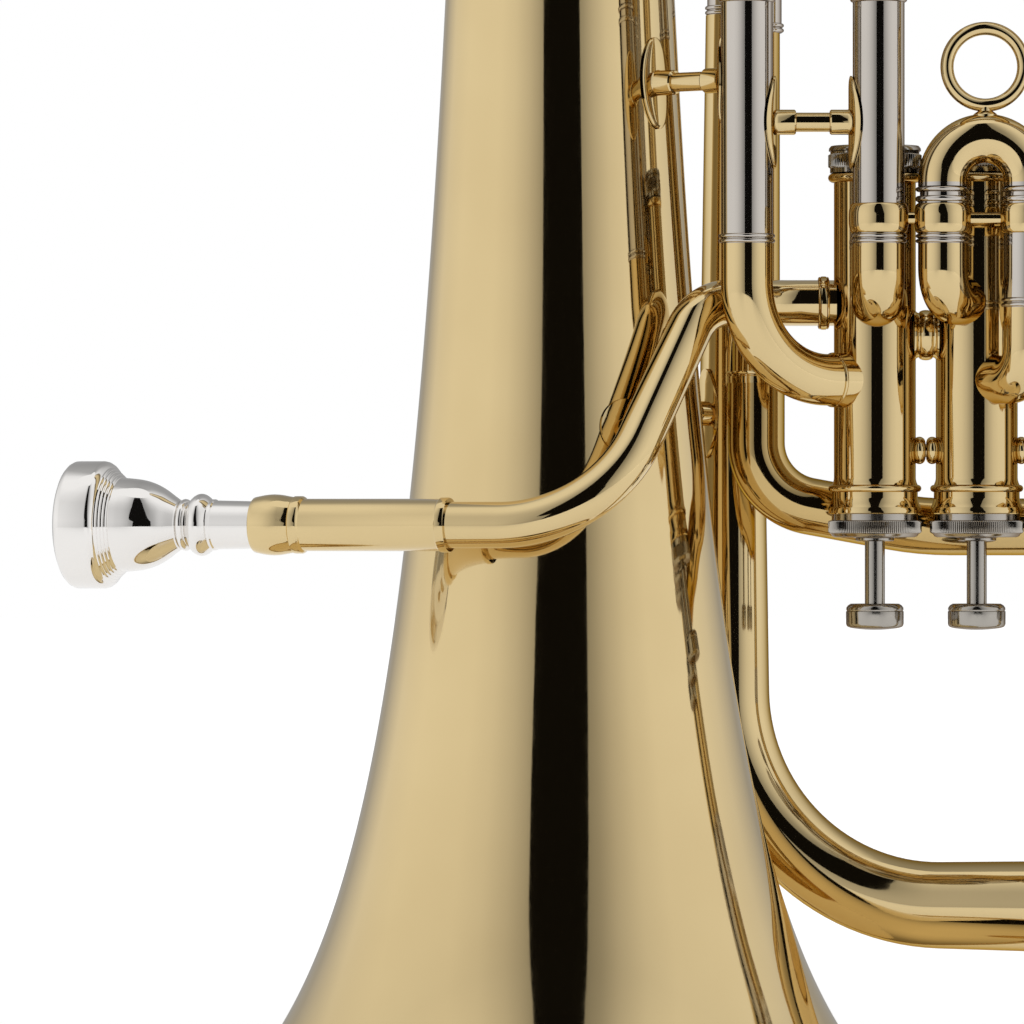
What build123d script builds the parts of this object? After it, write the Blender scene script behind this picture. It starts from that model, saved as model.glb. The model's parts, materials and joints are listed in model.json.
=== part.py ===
from build123d import *
from math import cos, radians, sin, sqrt
import os

# Baritone horn with three piston valves, standing on its bell rim.
# Millimetres, +Z up. The bell's axis is the Z axis and its rim lies on Z = 0.
# The valves, slides and leadpipe are on the -Y side, the small branch on the +Y side.

os.makedirs("parts", exist_ok=True)

# ------------------------------------------------------------ driving dimensions
# Bell: a Bessel horn, radius = rim * (pole / (z + pole)) ** power
bell_rim_r = 140.0
bell_height = 530.0
flare_pole = 32.25
flare_power = 0.55
bell_wall = 0.7
rim_bead_r = 2.6
rim_land = 2.2
bell_seams = (60.0, 200.0)

# Large tubing
bow_wall = 0.7
outer_branch_x = 235.0
outer_branch_top_r = 23.4
outer_branch_low_r = 16.4
inner_branch_x = 54.3
inner_branch_y = 43.0
inner_branch_low_r = 11.6
inner_branch_top_r = 8.3
inner_branch_top = 360.0
front_bow_z = 81.6
front_bow_bend = 66.0
front_bow_leg = 2.4
ferrule_width = 12.0
ferrule_proud = 1.2
ferrule_gap = 0.35
ferrule_edge_share = 0.7

# Valve cluster
valve_pitch = 31.1
first_valve_x = 96.0
valve_y = -20.0
casing_r = 12.5
casing_wall = 1.2
casing_bottom = 203.6
casing_top = 307.7
collar_r = 13.5
collar_height = 10.0
collar_groove = 0.6
collar_groove_width = 1.2
collar_groove_z = 3.0
stroke = 18.0
piston_clearance = 0.05
piston_wall = 0.9
piston_length = 77.0
piston_lift = 0.6
port_r = 6.2
passage_wall = 0.5
passage_bend = 7.0
piston_vent_r = 4.0
bridge_r = 7.7
stem_r = 3.06
stem_clearance = 0.06
cap_r = 14.3
top_cap_height = 7.1
cap_boss_r = 5.9
cap_boss_height = 1.2
cap_base_r = 13.2
cap_base_height = 1.9
cap_chamfer = 0.6
cap_seat = 1.4
bottom_cap_height = 8.2
bottom_cap_floor = 1.6
vent_r = 2.5
button_r = 8.8
button_height = 8.0
button_gap = 1.1
button_chamfer = 1.4
button_round = 1.2
button_dome_r = 45.0
spring_wire_r = 0.5
spring_turns = 5
spring_r = 8.5

# Ports, from the bell mouth's plane
inlet_z = 268.0
bridge_z = 258.2
upper_port_z = 268.3
lower_port_z = 244.4

# Valve slides
slide_y = -43.5
tube_r = 7.85
tube_wall = 0.5
knuckle_bend = 10.0
sweep_bend = 27.0
slide_clearance = 0.05
sleeve_wall = 0.5
leg_wall = 0.5
sleeve_stand = 17.0
bead_proud = 0.8
bead_width = 3.0
crook_gap = 5.0
first_left_x = 56.2
first_sleeve_length = 74.7
first_crook_rise = 15.0
second_tube_r = 7.4
second_left_offset = -11.8
second_right_offset = 14.1
second_sleeve_length = 14.4
second_crook_gap = 4.1
second_crook_rise = 0.4
second_right_drop = 19.3
third_left_offset = 10.0
third_right_offset = 47.8
third_sleeve_length = 134.7
third_crook_rise = 49.0
pull_ring_r = 11.6
pull_ring_wire_r = 2.0
pull_ring_lift = 0.6
pull_foot_r = 3.6
mouth_bead_width = 1.8
leg_margin = 1.0

# Outlet bow and main slide
outlet_y = 5.0
outlet_z = 199.6
outlet_r = 8.8
outlet_bend = 20.0
outlet_reach = 22.0
outlet_elbow = 18.0
outlet_sag = 100.0
outlet_rise = 9.4
feed_x = 60.6
feed_r = 7.3
feed_foot = 247.6
feed_socket = 6.0
main_foot = 352.0
main_sleeve_length = 78.0
main_crook_rise = 5.0

# Leadpipe, receiver and mouthpiece
lead_stand = 5.8
lead_z = 200.3
lead_r = 7.0
lead_wall = 0.6
lead_start_x = -33.4
lead_socket = 6.0
lead_first_run = 47.2
lead_crest_stand = 11.8
lead_crest_turn = 35.9
lead_port_x = 68.0
lead_low_bend = 40.0
lead_crest_bend = 18.0
lead_port_bend = 25.0
small_ferrule_width = 3.4
receiver_turn = 17.0
receiver_r = 7.9
receiver_length = 62.0
receiver_cap_r = 9.2
receiver_cap_length = 12.5
receiver_bore_r = 6.0
receiver_band = 3.0
mouthpiece_length = 81.5
shank_depth = 22.0
shank_mouth_r = 7.15
shank_end_r = 6.5
shank_clearance = 0.05
rim_r = 19.4
rim_length = 11.0
rim_round = 2.4
rim_groove = 0.4
rim_groove_pitch = 1.4
rim_groove_count = 3
cup_back_r = 15.8
cup_depth = 26.0
neck_r = 6.6
neck_z = 37.0
bulb_r = 9.2
backbore_r = 4.9
cup_r = 12.9
throat_r = 3.3

# Braces
brace_rod_r = 3.1
brace_sleeve_r = 3.85
brace_socket_share = 0.28
pad_thickness = 1.3
pad_height = 28.0
pad_width = 9.0
rod_gap = 0.45
pad_gap = 0.2
bell_brace_z = 335.0
slide_brace_z = 322.0
main_brace_z = 395.0
inner_brace_z = 235.0
valve_brace_z = 290.0
long_brace_z = 490.0
long_brace_turn = 30.0
lead_brace_z = 230.0
lead_pad = 17.0
saddle_stand = 7.65
saddle_height = 9.0
saddle_proud = 1.1
saddle_post_r = 2.6
saddle_rod_r = 1.85
casing_brace_z = 223.0
casing_bead_r = 4.2
casing_bead_offset = 1.75
ferrule_stand = 3.2

# Water key on the main slide
key_nipple_r = 3.0
key_bore_r = 1.5
key_pin_r = 0.9
key_pin_clearance = 0.05
key_pivot_reach = 10.0
key_pin_lift = 3.0
key_nipple_height = 2.4
key_cork_height = 2.4
key_cork_gap = 0.05
key_cork_r = 3.4
key_lever_width = 4.4
key_lever_thickness = 1.8
key_ear = 1.2
key_ear_gap = 0.28
key_ear_length = 5.0
key_tab_reach = 24.0
key_tab_length = 12.0

# ------------------------------------------------------------ places worked out from them
valve_x = [first_valve_x + i * valve_pitch for i in range(3)]
casing_height = casing_top - casing_bottom
bore_r = casing_r - casing_wall
piston_r = bore_r - piston_clearance
piston_foot = casing_bottom + piston_lift
cap_foot = casing_bottom - top_cap_height
stem_foot = cap_foot - cap_boss_height - stroke - button_gap
receiver_dir = Vector(-cos(radians(receiver_turn)), sin(radians(receiver_turn)), 0)
branch_joint_z = front_bow_z + front_bow_bend + front_bow_leg
sleeve_foot = upper_port_z + sleeve_stand
saddle_z = sleeve_foot + saddle_stand
first_mouth = sleeve_foot + first_sleeve_length
second_mouth = sleeve_foot + second_sleeve_length
third_mouth = sleeve_foot + third_sleeve_length
main_mouth = main_foot + main_sleeve_length
up = Vector(0, 0, 1)
standing = (Align.CENTER, Align.CENTER, Align.MIN)


def bell_radius(z):
    """Outer radius of the bell at a height above its rim."""
    return bell_rim_r * (flare_pole / (z + flare_pole)) ** flare_power


def bell_slope(z):
    """Change of the bell's radius with height."""
    return -flare_power * bell_radius(z) / (z + flare_pole)


def branch_radius(z):
    """Outer radius of the large outer branch at a height."""
    share = (z - branch_joint_z) / (bell_height - branch_joint_z)
    return outer_branch_low_r + share * (outer_branch_top_r - outer_branch_low_r)


def inner_radius(z):
    """Outer radius of the small inner branch at a height."""
    share = (z - branch_joint_z) / (inner_branch_top - branch_joint_z)
    return inner_branch_low_r + share * (inner_branch_top_r - inner_branch_low_r)


def save(part, name):
    """Label a finished piece and write it as its own file."""
    part.label = name
    export_step(part, f"parts/{name}.step")


def lathe_plane(origin, direction):
    """Sketch plane whose local Y runs along a turning axis."""
    side = Vector(0, 0, 1) if abs(direction.Z) < 0.9 else Vector(1, 0, 0)
    side = (side - direction * side.dot(direction)).normalized()
    return Plane(origin=origin, x_dir=side, z_dir=side.cross(direction))


def tapered_tube(route, radii, wall):
    """Hollow tube along a route, its radius changing evenly through the listed radii."""
    with BuildPart() as tube:
        for inset, mode in ((0, Mode.ADD), (wall, Mode.SUBTRACT)):
            sections = []
            for i, radius in enumerate(radii):
                share = i / (len(radii) - 1)
                with BuildSketch(Plane(route @ share, z_dir=route % share)) as section:
                    Circle(radius - inset)
                sections.append(section.sketch)
            sweep(sections=sections, path=route, multisection=True, mode=mode)
    return tube.part


def round_tube(route, outer, wall, casings=()):
    """Hollow tube along a route, its ends trimmed to the valve casings it runs into."""
    with BuildPart() as tube:
        with BuildSketch(Plane(route @ 0, z_dir=route % 0)):
            Circle(outer)
            Circle(outer - wall, mode=Mode.SUBTRACT)
        sweep(path=route)
        for x in casings:
            with Locations((x, valve_y, (casing_top + casing_bottom) / 2)):
                Cylinder(casing_r, casing_height, mode=Mode.SUBTRACT)
    return tube.part


def turned_tube(at, outer, wall, foot, mouth, beads=()):
    """Straight upright tube with rounded beads, each a height, a width and how far it stands out."""
    x, y = at
    with BuildPart() as tube:
        with BuildSketch(Plane(origin=(x, y, 0), x_dir=(1, 0, 0), z_dir=(0, -1, 0))):
            with Locations((outer - wall, foot)):
                Rectangle(wall, mouth - foot, align=(Align.MIN, Align.MIN))
            for z, width, proud in beads:
                with Locations((outer, z)):
                    Ellipse(proud, width / 2)
            with Locations((0, foot - bead_width)):
                Rectangle(
                    outer - wall,
                    mouth - foot + 2 * bead_width,
                    align=(Align.MIN, Align.MIN),
                    mode=Mode.SUBTRACT,
                )
        revolve(axis=Axis((x, y, 0), (0, 0, 1)))
    return tube.part


def ring(centre, direction, inner, proud, width):
    """Ferrule round a tube: a flat band whose two edges are rounded over."""
    edge = ferrule_edge_share * min(proud, width / 2)
    with BuildPart() as band:
        with BuildSketch(lathe_plane(centre, direction)) as section:
            with Locations((inner, 0)):
                Rectangle(proud, width, align=(Align.MIN, Align.CENTER))
            fillet(section.vertices().group_by(Axis.X)[-1], edge)
        revolve(axis=Axis(centre, direction))
    return band.part


def pad_on(axis_at, radius_low, radius_high, height, target, pad_height, pad_width):
    """Oval foot of a brace: a skin of pad thickness that follows a round body facing the target."""
    x, y = axis_at
    facing = (Vector(target[0], target[1], 0) - Vector(x, y, 0)).normalized()
    reach = max(radius_low, radius_high) + 2 * pad_thickness
    with BuildPart() as pad:
        with BuildSketch(Plane(origin=(x, y, 0), x_dir=facing, z_dir=facing.cross(up))):
            with BuildLine():
                low = height - pad_height / 2
                top = height + pad_height / 2
                Polyline(
                    (radius_low + pad_gap, low),
                    (radius_low + pad_thickness, low),
                    (radius_high + pad_thickness, top),
                    (radius_high + pad_gap, top),
                    close=True,
                )
            make_face()
        revolve(axis=Axis((x, y, 0), (0, 0, 1)))
        with BuildSketch(Plane(origin=(x, y, height), x_dir=facing.cross(up), z_dir=facing)):
            Ellipse(pad_width / 2, pad_height / 2)
        extrude(amount=reach, mode=Mode.INTERSECT)
    return pad.part


def rod_between(start, end, radius):
    """Round rod from one point to another."""
    span = Vector(*end) - Vector(*start)
    with BuildPart() as rod:
        with BuildSketch(Plane(Vector(*start), z_dir=span)):
            Circle(radius)
        extrude(amount=span.length)
    return rod.part


def brace_rod(start, end):
    """Brace rod with a socket sleeve at each end."""
    first = Vector(*start)
    last = Vector(*end)
    way = (last - first).normalized()
    socket = brace_socket_share * (last - first).length
    with BuildPart() as rod:
        add(rod_between(first, last, brace_rod_r))
        add(rod_between(first, first + way * socket, brace_sleeve_r))
        add(rod_between(last - way * socket, last, brace_sleeve_r))
    return rod.part


# ------------------------------------------------------------ bell
bead_centre_r = bell_rim_r - rim_bead_r
bead_centre_z = sqrt(rim_bead_r**2 - (rim_land / 2) ** 2)
skin_foot = flare_pole * ((bell_rim_r / bead_centre_r) ** (1 / flare_power) - 1)
station_count = 11
first_station = skin_foot + flare_pole
spread = (bell_height + flare_pole) / first_station
stations = [first_station * spread ** (i / (station_count - 1)) - flare_pole for i in range(station_count)]
outside = [(bell_radius(z), z) for z in stations]
inside = [(bell_radius(z) - bell_wall * sqrt(1 + bell_slope(z) ** 2), z) for z in stations]
with BuildPart() as bell:
    with BuildSketch(Plane.XZ):
        with BuildLine():
            Spline(outside)
            Line(outside[-1], inside[-1])
            Spline(inside)
            Line(inside[0], outside[0])
        make_face()
        with Locations((bead_centre_r, bead_centre_z)):
            Circle(rim_bead_r)
        with Locations((bead_centre_r, 0)):
            Rectangle(4 * rim_bead_r, rim_bead_r, align=(Align.CENTER, Align.MAX), mode=Mode.SUBTRACT)
    revolve(axis=Axis.Z)
    # The bell is spun in sections, brazed edge to edge at its seams
    for seam in bell_seams:
        split(bisect_by=Plane.XY.offset(seam), keep=Keep.BOTH)
save(bell.part, "bell")

# ------------------------------------------------------------ large bows and branches
bottom_bow_bend = outer_branch_x / 2
with BuildLine(Plane.XZ) as bottom_route:
    CenterArc((bottom_bow_bend, bell_height), bottom_bow_bend, 180, -180)
bottom_mid_r = (bell_radius(bell_height) + outer_branch_top_r) / 2
bottom_radii = [bell_radius(bell_height), bottom_mid_r, outer_branch_top_r]
save(tapered_tube(bottom_route.line, bottom_radii, bow_wall), "bottom_bow")

outer_length = bell_height - branch_joint_z
with BuildPart() as outer_branch:
    with Locations((outer_branch_x, 0, branch_joint_z)):
        Cone(outer_branch_low_r, outer_branch_top_r, outer_length, align=standing)
        Cone(
            outer_branch_low_r - bow_wall,
            outer_branch_top_r - bow_wall,
            outer_length,
            align=standing,
            mode=Mode.SUBTRACT,
        )
save(outer_branch.part, "outer_branch")

with BuildLine() as front_route:
    FilletPolyline(
        (inner_branch_x, inner_branch_y, branch_joint_z),
        (inner_branch_x, inner_branch_y, front_bow_z),
        (outer_branch_x, 0, front_bow_z),
        (outer_branch_x, 0, branch_joint_z),
        radius=front_bow_bend,
    )
front_mid_r = (inner_branch_low_r + outer_branch_low_r) / 2
front_radii = [inner_branch_low_r, front_mid_r, outer_branch_low_r]
save(tapered_tube(front_route.line, front_radii, bow_wall), "front_bow")

inner_length = inner_branch_top - branch_joint_z
with BuildPart() as inner_branch:
    with Locations((inner_branch_x, inner_branch_y, branch_joint_z)):
        Cone(inner_branch_low_r, inner_branch_top_r, inner_length, align=standing)
        Cone(
            inner_branch_low_r - bow_wall,
            inner_branch_top_r - bow_wall,
            inner_length,
            align=standing,
            mode=Mode.SUBTRACT,
        )
save(inner_branch.part, "inner_branch")

branch_joints = (
    (Vector(0, 0, bell_height), bell_radius(bell_height)),
    (Vector(outer_branch_x, 0, bell_height), outer_branch_top_r),
    (Vector(outer_branch_x, 0, branch_joint_z), outer_branch_low_r),
)
with BuildPart() as branch_ferrules:
    for joint, radius in branch_joints:
        add(ring(joint, up, radius + ferrule_gap, ferrule_proud, ferrule_width))
save(branch_ferrules.part, "branch_ferrules")

# ------------------------------------------------------------ valve slides
# Each slide: a left and a right leg, the port and valve it feeds, and its heights.
second_left_x = valve_x[1] + second_left_offset
second_right_x = valve_x[1] + second_right_offset
third_left_x = valve_x[2] + third_left_offset
third_right_x = valve_x[2] + third_right_offset


def elbow(leg_x, foot, port_z, valve, outer):
    """Brass elbow: down the leg, then straight at the casing's centre."""
    leg = Vector(leg_x, slide_y, 0)
    casing = Vector(valve_x[valve], valve_y, 0)
    with BuildLine() as route:
        FilletPolyline(
            leg + up * foot,
            leg + up * port_z,
            casing + up * port_z,
            radius=knuckle_bend,
        )
    return round_tube(route.line, outer, tube_wall, casings=[valve_x[valve]])


def swept_elbow(leg_x, foot, port_z, valve, outer):
    """Brass tube: down the leg, round a wide bend, along the front and in through a knuckle."""
    x = valve_x[valve]
    with BuildLine() as route:
        FilletPolyline(
            (leg_x, slide_y, foot),
            (leg_x, slide_y, port_z),
            (x, slide_y, port_z),
            (x, valve_y, port_z),
            radius=[sweep_bend, knuckle_bend],
        )
    return round_tube(route.line, outer, tube_wall, casings=[x])


slides = {
    "first": {
        "legs": ((first_left_x, slide_y), (first_valve_x, slide_y)),
        "feet": (sleeve_foot, sleeve_foot),
        "stops": (sleeve_foot, sleeve_foot),
        "mouth": first_mouth,
        "crook_foot": first_mouth + crook_gap,
        "crook_rise": first_crook_rise,
        "tube_r": tube_r,
    },
    "second": {
        "legs": ((second_left_x, slide_y), (second_right_x, slide_y)),
        "feet": (sleeve_foot, sleeve_foot - second_right_drop),
        "stops": (upper_port_z + knuckle_bend, upper_port_z + knuckle_bend),
        "mouth": second_mouth,
        "crook_foot": second_mouth + second_crook_gap,
        "crook_rise": second_crook_rise,
        "tube_r": second_tube_r,
    },
    "third": {
        "legs": ((third_left_x, slide_y), (third_right_x, slide_y)),
        "feet": (sleeve_foot, sleeve_foot),
        "stops": (sleeve_foot, sleeve_foot),
        "mouth": third_mouth,
        "crook_foot": third_mouth + crook_gap,
        "crook_rise": third_crook_rise,
        "tube_r": tube_r,
    },
    "main": {
        "legs": ((feed_x, outlet_y), (inner_branch_x, inner_branch_y)),
        "feet": (main_foot, inner_branch_top),
        "stops": (main_foot + feed_socket, inner_branch_top),
        "mouth": main_mouth,
        "crook_foot": main_mouth + crook_gap,
        "crook_rise": main_crook_rise,
        "tube_r": tube_r,
    },
}

with BuildPart() as first_tubes:
    add(swept_elbow(first_left_x, sleeve_foot, lower_port_z, 0, tube_r))
    add(elbow(first_valve_x, sleeve_foot, upper_port_z, 0, tube_r))
save(first_tubes.part, "first_slide_tubes")

with BuildPart() as second_tubes:
    add(elbow(second_left_x, sleeve_foot, upper_port_z, 1, second_tube_r))
    add(elbow(second_right_x, sleeve_foot - second_right_drop, lower_port_z, 1, second_tube_r))
save(second_tubes.part, "second_slide_tubes")

with BuildPart() as third_tubes:
    add(elbow(third_left_x, sleeve_foot, upper_port_z, 2, tube_r))
    add(swept_elbow(third_right_x, sleeve_foot, lower_port_z, 2, tube_r))
save(third_tubes.part, "third_slide_tubes")


def crook_route(slide):
    """Up one leg, round a half circle and down the other."""
    a, b = (Vector(*place, 0) for place in slide["legs"])
    half = (b - a).length / 2
    foot = slide["crook_foot"]
    arc_z = foot + slide["crook_rise"]
    with BuildLine() as route:
        Line(a + up * foot, a + up * arc_z)
        ThreePointArc(a + up * arc_z, (a + b) * 0.5 + up * (arc_z + half), b + up * arc_z)
        Line(b + up * arc_z, b + up * foot)
    return route.line


def crook_top(slide):
    """Middle of the crook's outermost point."""
    a, b = (Vector(*place, 0) for place in slide["legs"])
    rise = slide["crook_foot"] + slide["crook_rise"] + (b - a).length / 2
    return (a + b) * 0.5 + up * (rise + slide["tube_r"])


def sleeve_pair(slide):
    """Two fixed outer sleeves with a foot bead and a mouth bead each."""
    mouth = slide["mouth"]
    with BuildPart() as pair:
        for at, foot in zip(slide["legs"], slide["feet"]):
            beads = (
                (foot + bead_width / 2, bead_width, bead_proud),
                (mouth - mouth_bead_width / 2, mouth_bead_width, bead_proud),
            )
            add(turned_tube(at, slide["tube_r"], sleeve_wall, foot, mouth, beads))
    return pair.part


def leg_pair(slide):
    """Two sliding inner legs that run in the sleeves, with a ferrule bead under the crook."""
    inside_sleeve = sleeve_wall + slide_clearance
    beads = ((slide["crook_foot"] - bead_width / 2, bead_width, inside_sleeve + bead_proud),)
    with BuildPart() as pair:
        for at, stop in zip(slide["legs"], slide["stops"]):
            outer = slide["tube_r"] - inside_sleeve
            add(turned_tube(at, outer, leg_wall, stop + leg_margin, slide["crook_foot"], beads))
    return pair.part


for name, slide in slides.items():
    save(sleeve_pair(slide), f"{name}_slide_sleeves")
    save(leg_pair(slide), f"{name}_slide_legs")
    save(round_tube(crook_route(slide), slide["tube_r"], tube_wall), f"{name}_slide_crook")

# Pull ring on the second slide's crook, seated on a foot that follows the tube
second_top = crook_top(slides["second"])
ring_centre = second_top + up * (pull_ring_r + pull_ring_wire_r + pull_ring_lift)
with BuildPart() as pull_ring:
    with BuildSketch(lathe_plane(second_top - up * pull_foot_r, up)):
        with BuildLine():
            Polyline(
                (0, 0),
                (pull_foot_r, 0),
                (pull_foot_r, pull_foot_r),
                (pull_ring_wire_r, pull_foot_r + pull_ring_wire_r),
                (0, pull_foot_r + pull_ring_wire_r),
                close=True,
            )
        make_face()
    revolve(axis=Axis(second_top, up))
    with BuildSketch(Plane(ring_centre + Vector(pull_ring_r, 0, 0), z_dir=up)):
        Circle(pull_ring_wire_r)
    revolve(axis=Axis(ring_centre, (0, 1, 0)))
    second_route = crook_route(slides["second"])
    with BuildSketch(Plane(second_route @ 0, z_dir=second_route % 0)):
        Circle(second_tube_r)
    sweep(path=second_route, mode=Mode.SUBTRACT)
save(pull_ring.part, "second_slide_ring")

# ------------------------------------------------------------ valves
upper_leg_x = (first_valve_x, second_left_x, third_left_x)
lower_leg_x = (first_valve_x, second_right_x, valve_x[2])
inlet_heights = (inlet_z, bridge_z, bridge_z)


def port_list(i):
    """The four ports of a valve: a direction from its axis and a height each."""
    axis = Vector(valve_x[i], valve_y, 0)
    left = Vector(-1, 0, 0)
    upper = (Vector(upper_leg_x[i], slide_y, 0) - axis).normalized()
    lower = (Vector(lower_leg_x[i], slide_y, 0) - axis).normalized()
    right = Vector(1, 0, 0)
    return ((left, inlet_heights[i]), (upper, upper_port_z), (lower, lower_port_z), (right, bridge_z))


def passage_route(axis, start, end, reach):
    """Way through a piston from one port to another, past the piston's axis."""
    (way_in, z_in), (way_out, z_out) = start, end
    first = axis + way_in * reach + up * z_in
    last = axis + way_out * reach + up * z_out
    with BuildLine() as route:
        if (way_in + way_out).length < 0.01:
            Line(first, last)
        else:
            FilletPolyline(first, axis + up * ((z_in + z_out) / 2), last, radius=passage_bend)
    return route.line


def sweep_circle(route, radius, mode):
    """Sweep a round section along a route in the part being built."""
    with BuildSketch(Plane(route @ 0, z_dir=route % 0)) as section:
        Circle(radius)
    sweep(section.sketch, path=route, mode=mode)


for i, x in enumerate(valve_x):
    number = i + 1
    axis = Vector(x, valve_y, 0)
    turn = Axis(axis, up)
    ports = port_list(i)

    with BuildPart() as casing:
        with BuildSketch(lathe_plane(axis, up)):
            with Locations((bore_r, casing_bottom)):
                Rectangle(casing_wall, casing_height, align=(Align.MIN, Align.MIN))
                Rectangle(collar_r - bore_r, collar_height, align=(Align.MIN, Align.MIN))
            with Locations((collar_r, casing_bottom + collar_groove_z)):
                Rectangle(2 * collar_groove, collar_groove_width, mode=Mode.SUBTRACT)
            for z in (casing_bottom + collar_height - bead_width / 2, casing_top - bead_width / 2):
                with Locations((casing_r, z)):
                    Ellipse(collar_r - casing_r + bead_proud, bead_width / 2)
            with Locations((0, casing_bottom)):
                Rectangle(bore_r, casing_height, align=(Align.MIN, Align.MIN), mode=Mode.SUBTRACT)
        revolve(axis=turn)
        for way, z in ports:
            with BuildSketch(Plane(axis + up * z, z_dir=way)):
                Circle(port_r)
            extrude(amount=collar_r, mode=Mode.SUBTRACT)
    save(casing.part, f"valve_casing_{number}")

    # Ported piston: a thin drum with three passages let through it
    with BuildPart() as piston:
        with Locations((x, valve_y, piston_foot)):
            Cylinder(piston_r, piston_length, align=standing)
        with Locations((x, valve_y, piston_foot + piston_wall)):
            Cylinder(
                piston_r - piston_wall,
                piston_length - 2 * piston_wall,
                align=standing,
                mode=Mode.SUBTRACT,
            )
        with Locations((x, valve_y, piston_foot + piston_length - piston_wall)):
            Cylinder(piston_vent_r, 4 * piston_wall, mode=Mode.SUBTRACT)
        left, upper, lower, right = ports
        drop = stroke
        open_way = passage_route(axis, left, right, casing_r)
        first_way = passage_route(axis - up * drop, left, upper, casing_r)
        last_way = passage_route(axis - up * drop, lower, right, casing_r)
        for way in (open_way, first_way, last_way):
            sweep_circle(way, port_r + passage_wall, Mode.ADD)
        with Locations((x, valve_y, piston_foot)):
            Cylinder(
                piston_r,
                piston_length,
                align=standing,
                mode=Mode.INTERSECT,
            )
        for way in (open_way, first_way, last_way):
            sweep_circle(way, port_r, Mode.SUBTRACT)
    save(piston.part, f"piston_{number}")

    with BuildPart() as bottom_cap:
        with BuildSketch(lathe_plane(axis, up)):
            with BuildLine():
                Polyline(
                    (bore_r, casing_top),
                    (cap_r - cap_chamfer, casing_top),
                    (cap_r - cap_chamfer, casing_top + cap_seat),
                    (cap_r, casing_top + cap_seat + cap_chamfer),
                    (cap_r, casing_top + bottom_cap_height - cap_chamfer),
                    (cap_r - cap_chamfer, casing_top + bottom_cap_height),
                    (vent_r, casing_top + bottom_cap_height),
                    (vent_r, casing_top + bottom_cap_height - bottom_cap_floor),
                    (bore_r, casing_top + bottom_cap_height - bottom_cap_floor),
                    close=True,
                )
            make_face()
        revolve(axis=turn)
    save(bottom_cap.part, f"bottom_cap_{number}")

    with BuildPart() as top_cap:
        with BuildSketch(lathe_plane(axis, up)):
            bore = stem_r + stem_clearance
            with BuildLine():
                Polyline(
                    (bore, casing_bottom),
                    (cap_base_r, casing_bottom),
                    (cap_base_r, casing_bottom - cap_base_height),
                    (cap_r, casing_bottom - cap_base_height - cap_chamfer),
                    (cap_r, cap_foot + cap_base_height / 2 + cap_chamfer),
                    (cap_r - cap_chamfer, cap_foot + cap_base_height / 2),
                    (cap_base_r, cap_foot),
                    (cap_boss_r, cap_foot),
                    (cap_boss_r, cap_foot - cap_boss_height),
                    (bore, cap_foot - cap_boss_height),
                    close=True,
                )
            make_face()
        revolve(axis=turn)
    save(top_cap.part, f"top_cap_{number}")

    with BuildPart() as stem:
        with Locations((x, valve_y, stem_foot)):
            Cylinder(stem_r, piston_foot - stem_foot, align=standing)
    save(stem.part, f"valve_stem_{number}")

    with BuildPart() as button:
        with Locations((x, valve_y, stem_foot)):
            Cylinder(button_r, button_height, align=(Align.CENTER, Align.CENTER, Align.MAX))
        rims = button.edges().filter_by(GeomType.CIRCLE).sort_by(Axis.Z)
        chamfer(rims[-1], button_chamfer)
        fillet(rims[0], button_round)
        with Locations((x, valve_y, stem_foot - button_height + button_dome_r)):
            Sphere(button_dome_r, mode=Mode.INTERSECT)
    save(button.part, f"finger_button_{number}")

    spring_foot = piston_foot + piston_length + 2 * spring_wire_r
    spring_top = casing_top + bottom_cap_height - bottom_cap_floor - 2 * spring_wire_r
    with BuildPart() as spring:
        with BuildLine() as coil:
            Helix(
                pitch=(spring_top - spring_foot) / spring_turns,
                height=spring_top - spring_foot,
                radius=spring_r,
                center=(x, valve_y, spring_foot),
            )
        with BuildSketch(Plane(coil.line @ 0, z_dir=coil.line % 0)):
            RegularPolygon(spring_wire_r, 6)
        sweep(path=coil.line, is_frenet=True)
    save(spring.part, f"valve_spring_{number}")

for i in range(2):
    with BuildLine() as bridge_route:
        Line((valve_x[i], valve_y, bridge_z), (valve_x[i + 1], valve_y, bridge_z))
    bridge = round_tube(bridge_route.line, bridge_r, tube_wall, casings=valve_x[i : i + 2])
    save(bridge, f"valve_bridge_{i + 1}")

# ------------------------------------------------------------ outlet bow and the tube above it
outlet_turn_x = valve_x[2] + casing_r + outlet_reach
with BuildLine() as outlet_route:
    FilletPolyline(
        (valve_x[2], valve_y, bridge_z),
        (outlet_turn_x, valve_y, bridge_z),
        (outlet_turn_x, outlet_y, outlet_z),
        ((first_valve_x + valve_x[1]) / 2, outlet_y, outlet_z),
        (feed_x, outlet_y, outlet_z + outlet_rise),
        (feed_x, outlet_y, feed_foot),
        radius=[outlet_elbow, outlet_elbow, outlet_sag, outlet_bend],
    )
save(round_tube(outlet_route.line, outlet_r, bow_wall, casings=[valve_x[2]]), "outlet_bow")

save(
    turned_tube((feed_x, outlet_y), feed_r, sleeve_wall, feed_foot, main_foot + feed_socket),
    "feed_tube",
)

# ------------------------------------------------------------ leadpipe and receiver
lead_start = Vector(lead_start_x, -bell_radius(lead_z) - lead_stand, lead_z)
slope_foot = lead_start - receiver_dir * lead_first_run
crest_reach = bell_radius(inlet_z) + lead_crest_stand
crest_turn = radians(lead_crest_turn)
slope_top = Vector(crest_reach * cos(crest_turn), -crest_reach * sin(crest_turn), inlet_z)
with BuildLine() as lead_route:
    FilletPolyline(
        lead_start + receiver_dir * lead_socket,
        slope_foot,
        slope_top,
        (lead_port_x, valve_y, inlet_z),
        (first_valve_x, valve_y, inlet_z),
        radius=[lead_low_bend, lead_crest_bend, lead_port_bend],
    )
save(round_tube(lead_route.line, lead_r, lead_wall, casings=[first_valve_x]), "leadpipe")

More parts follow.
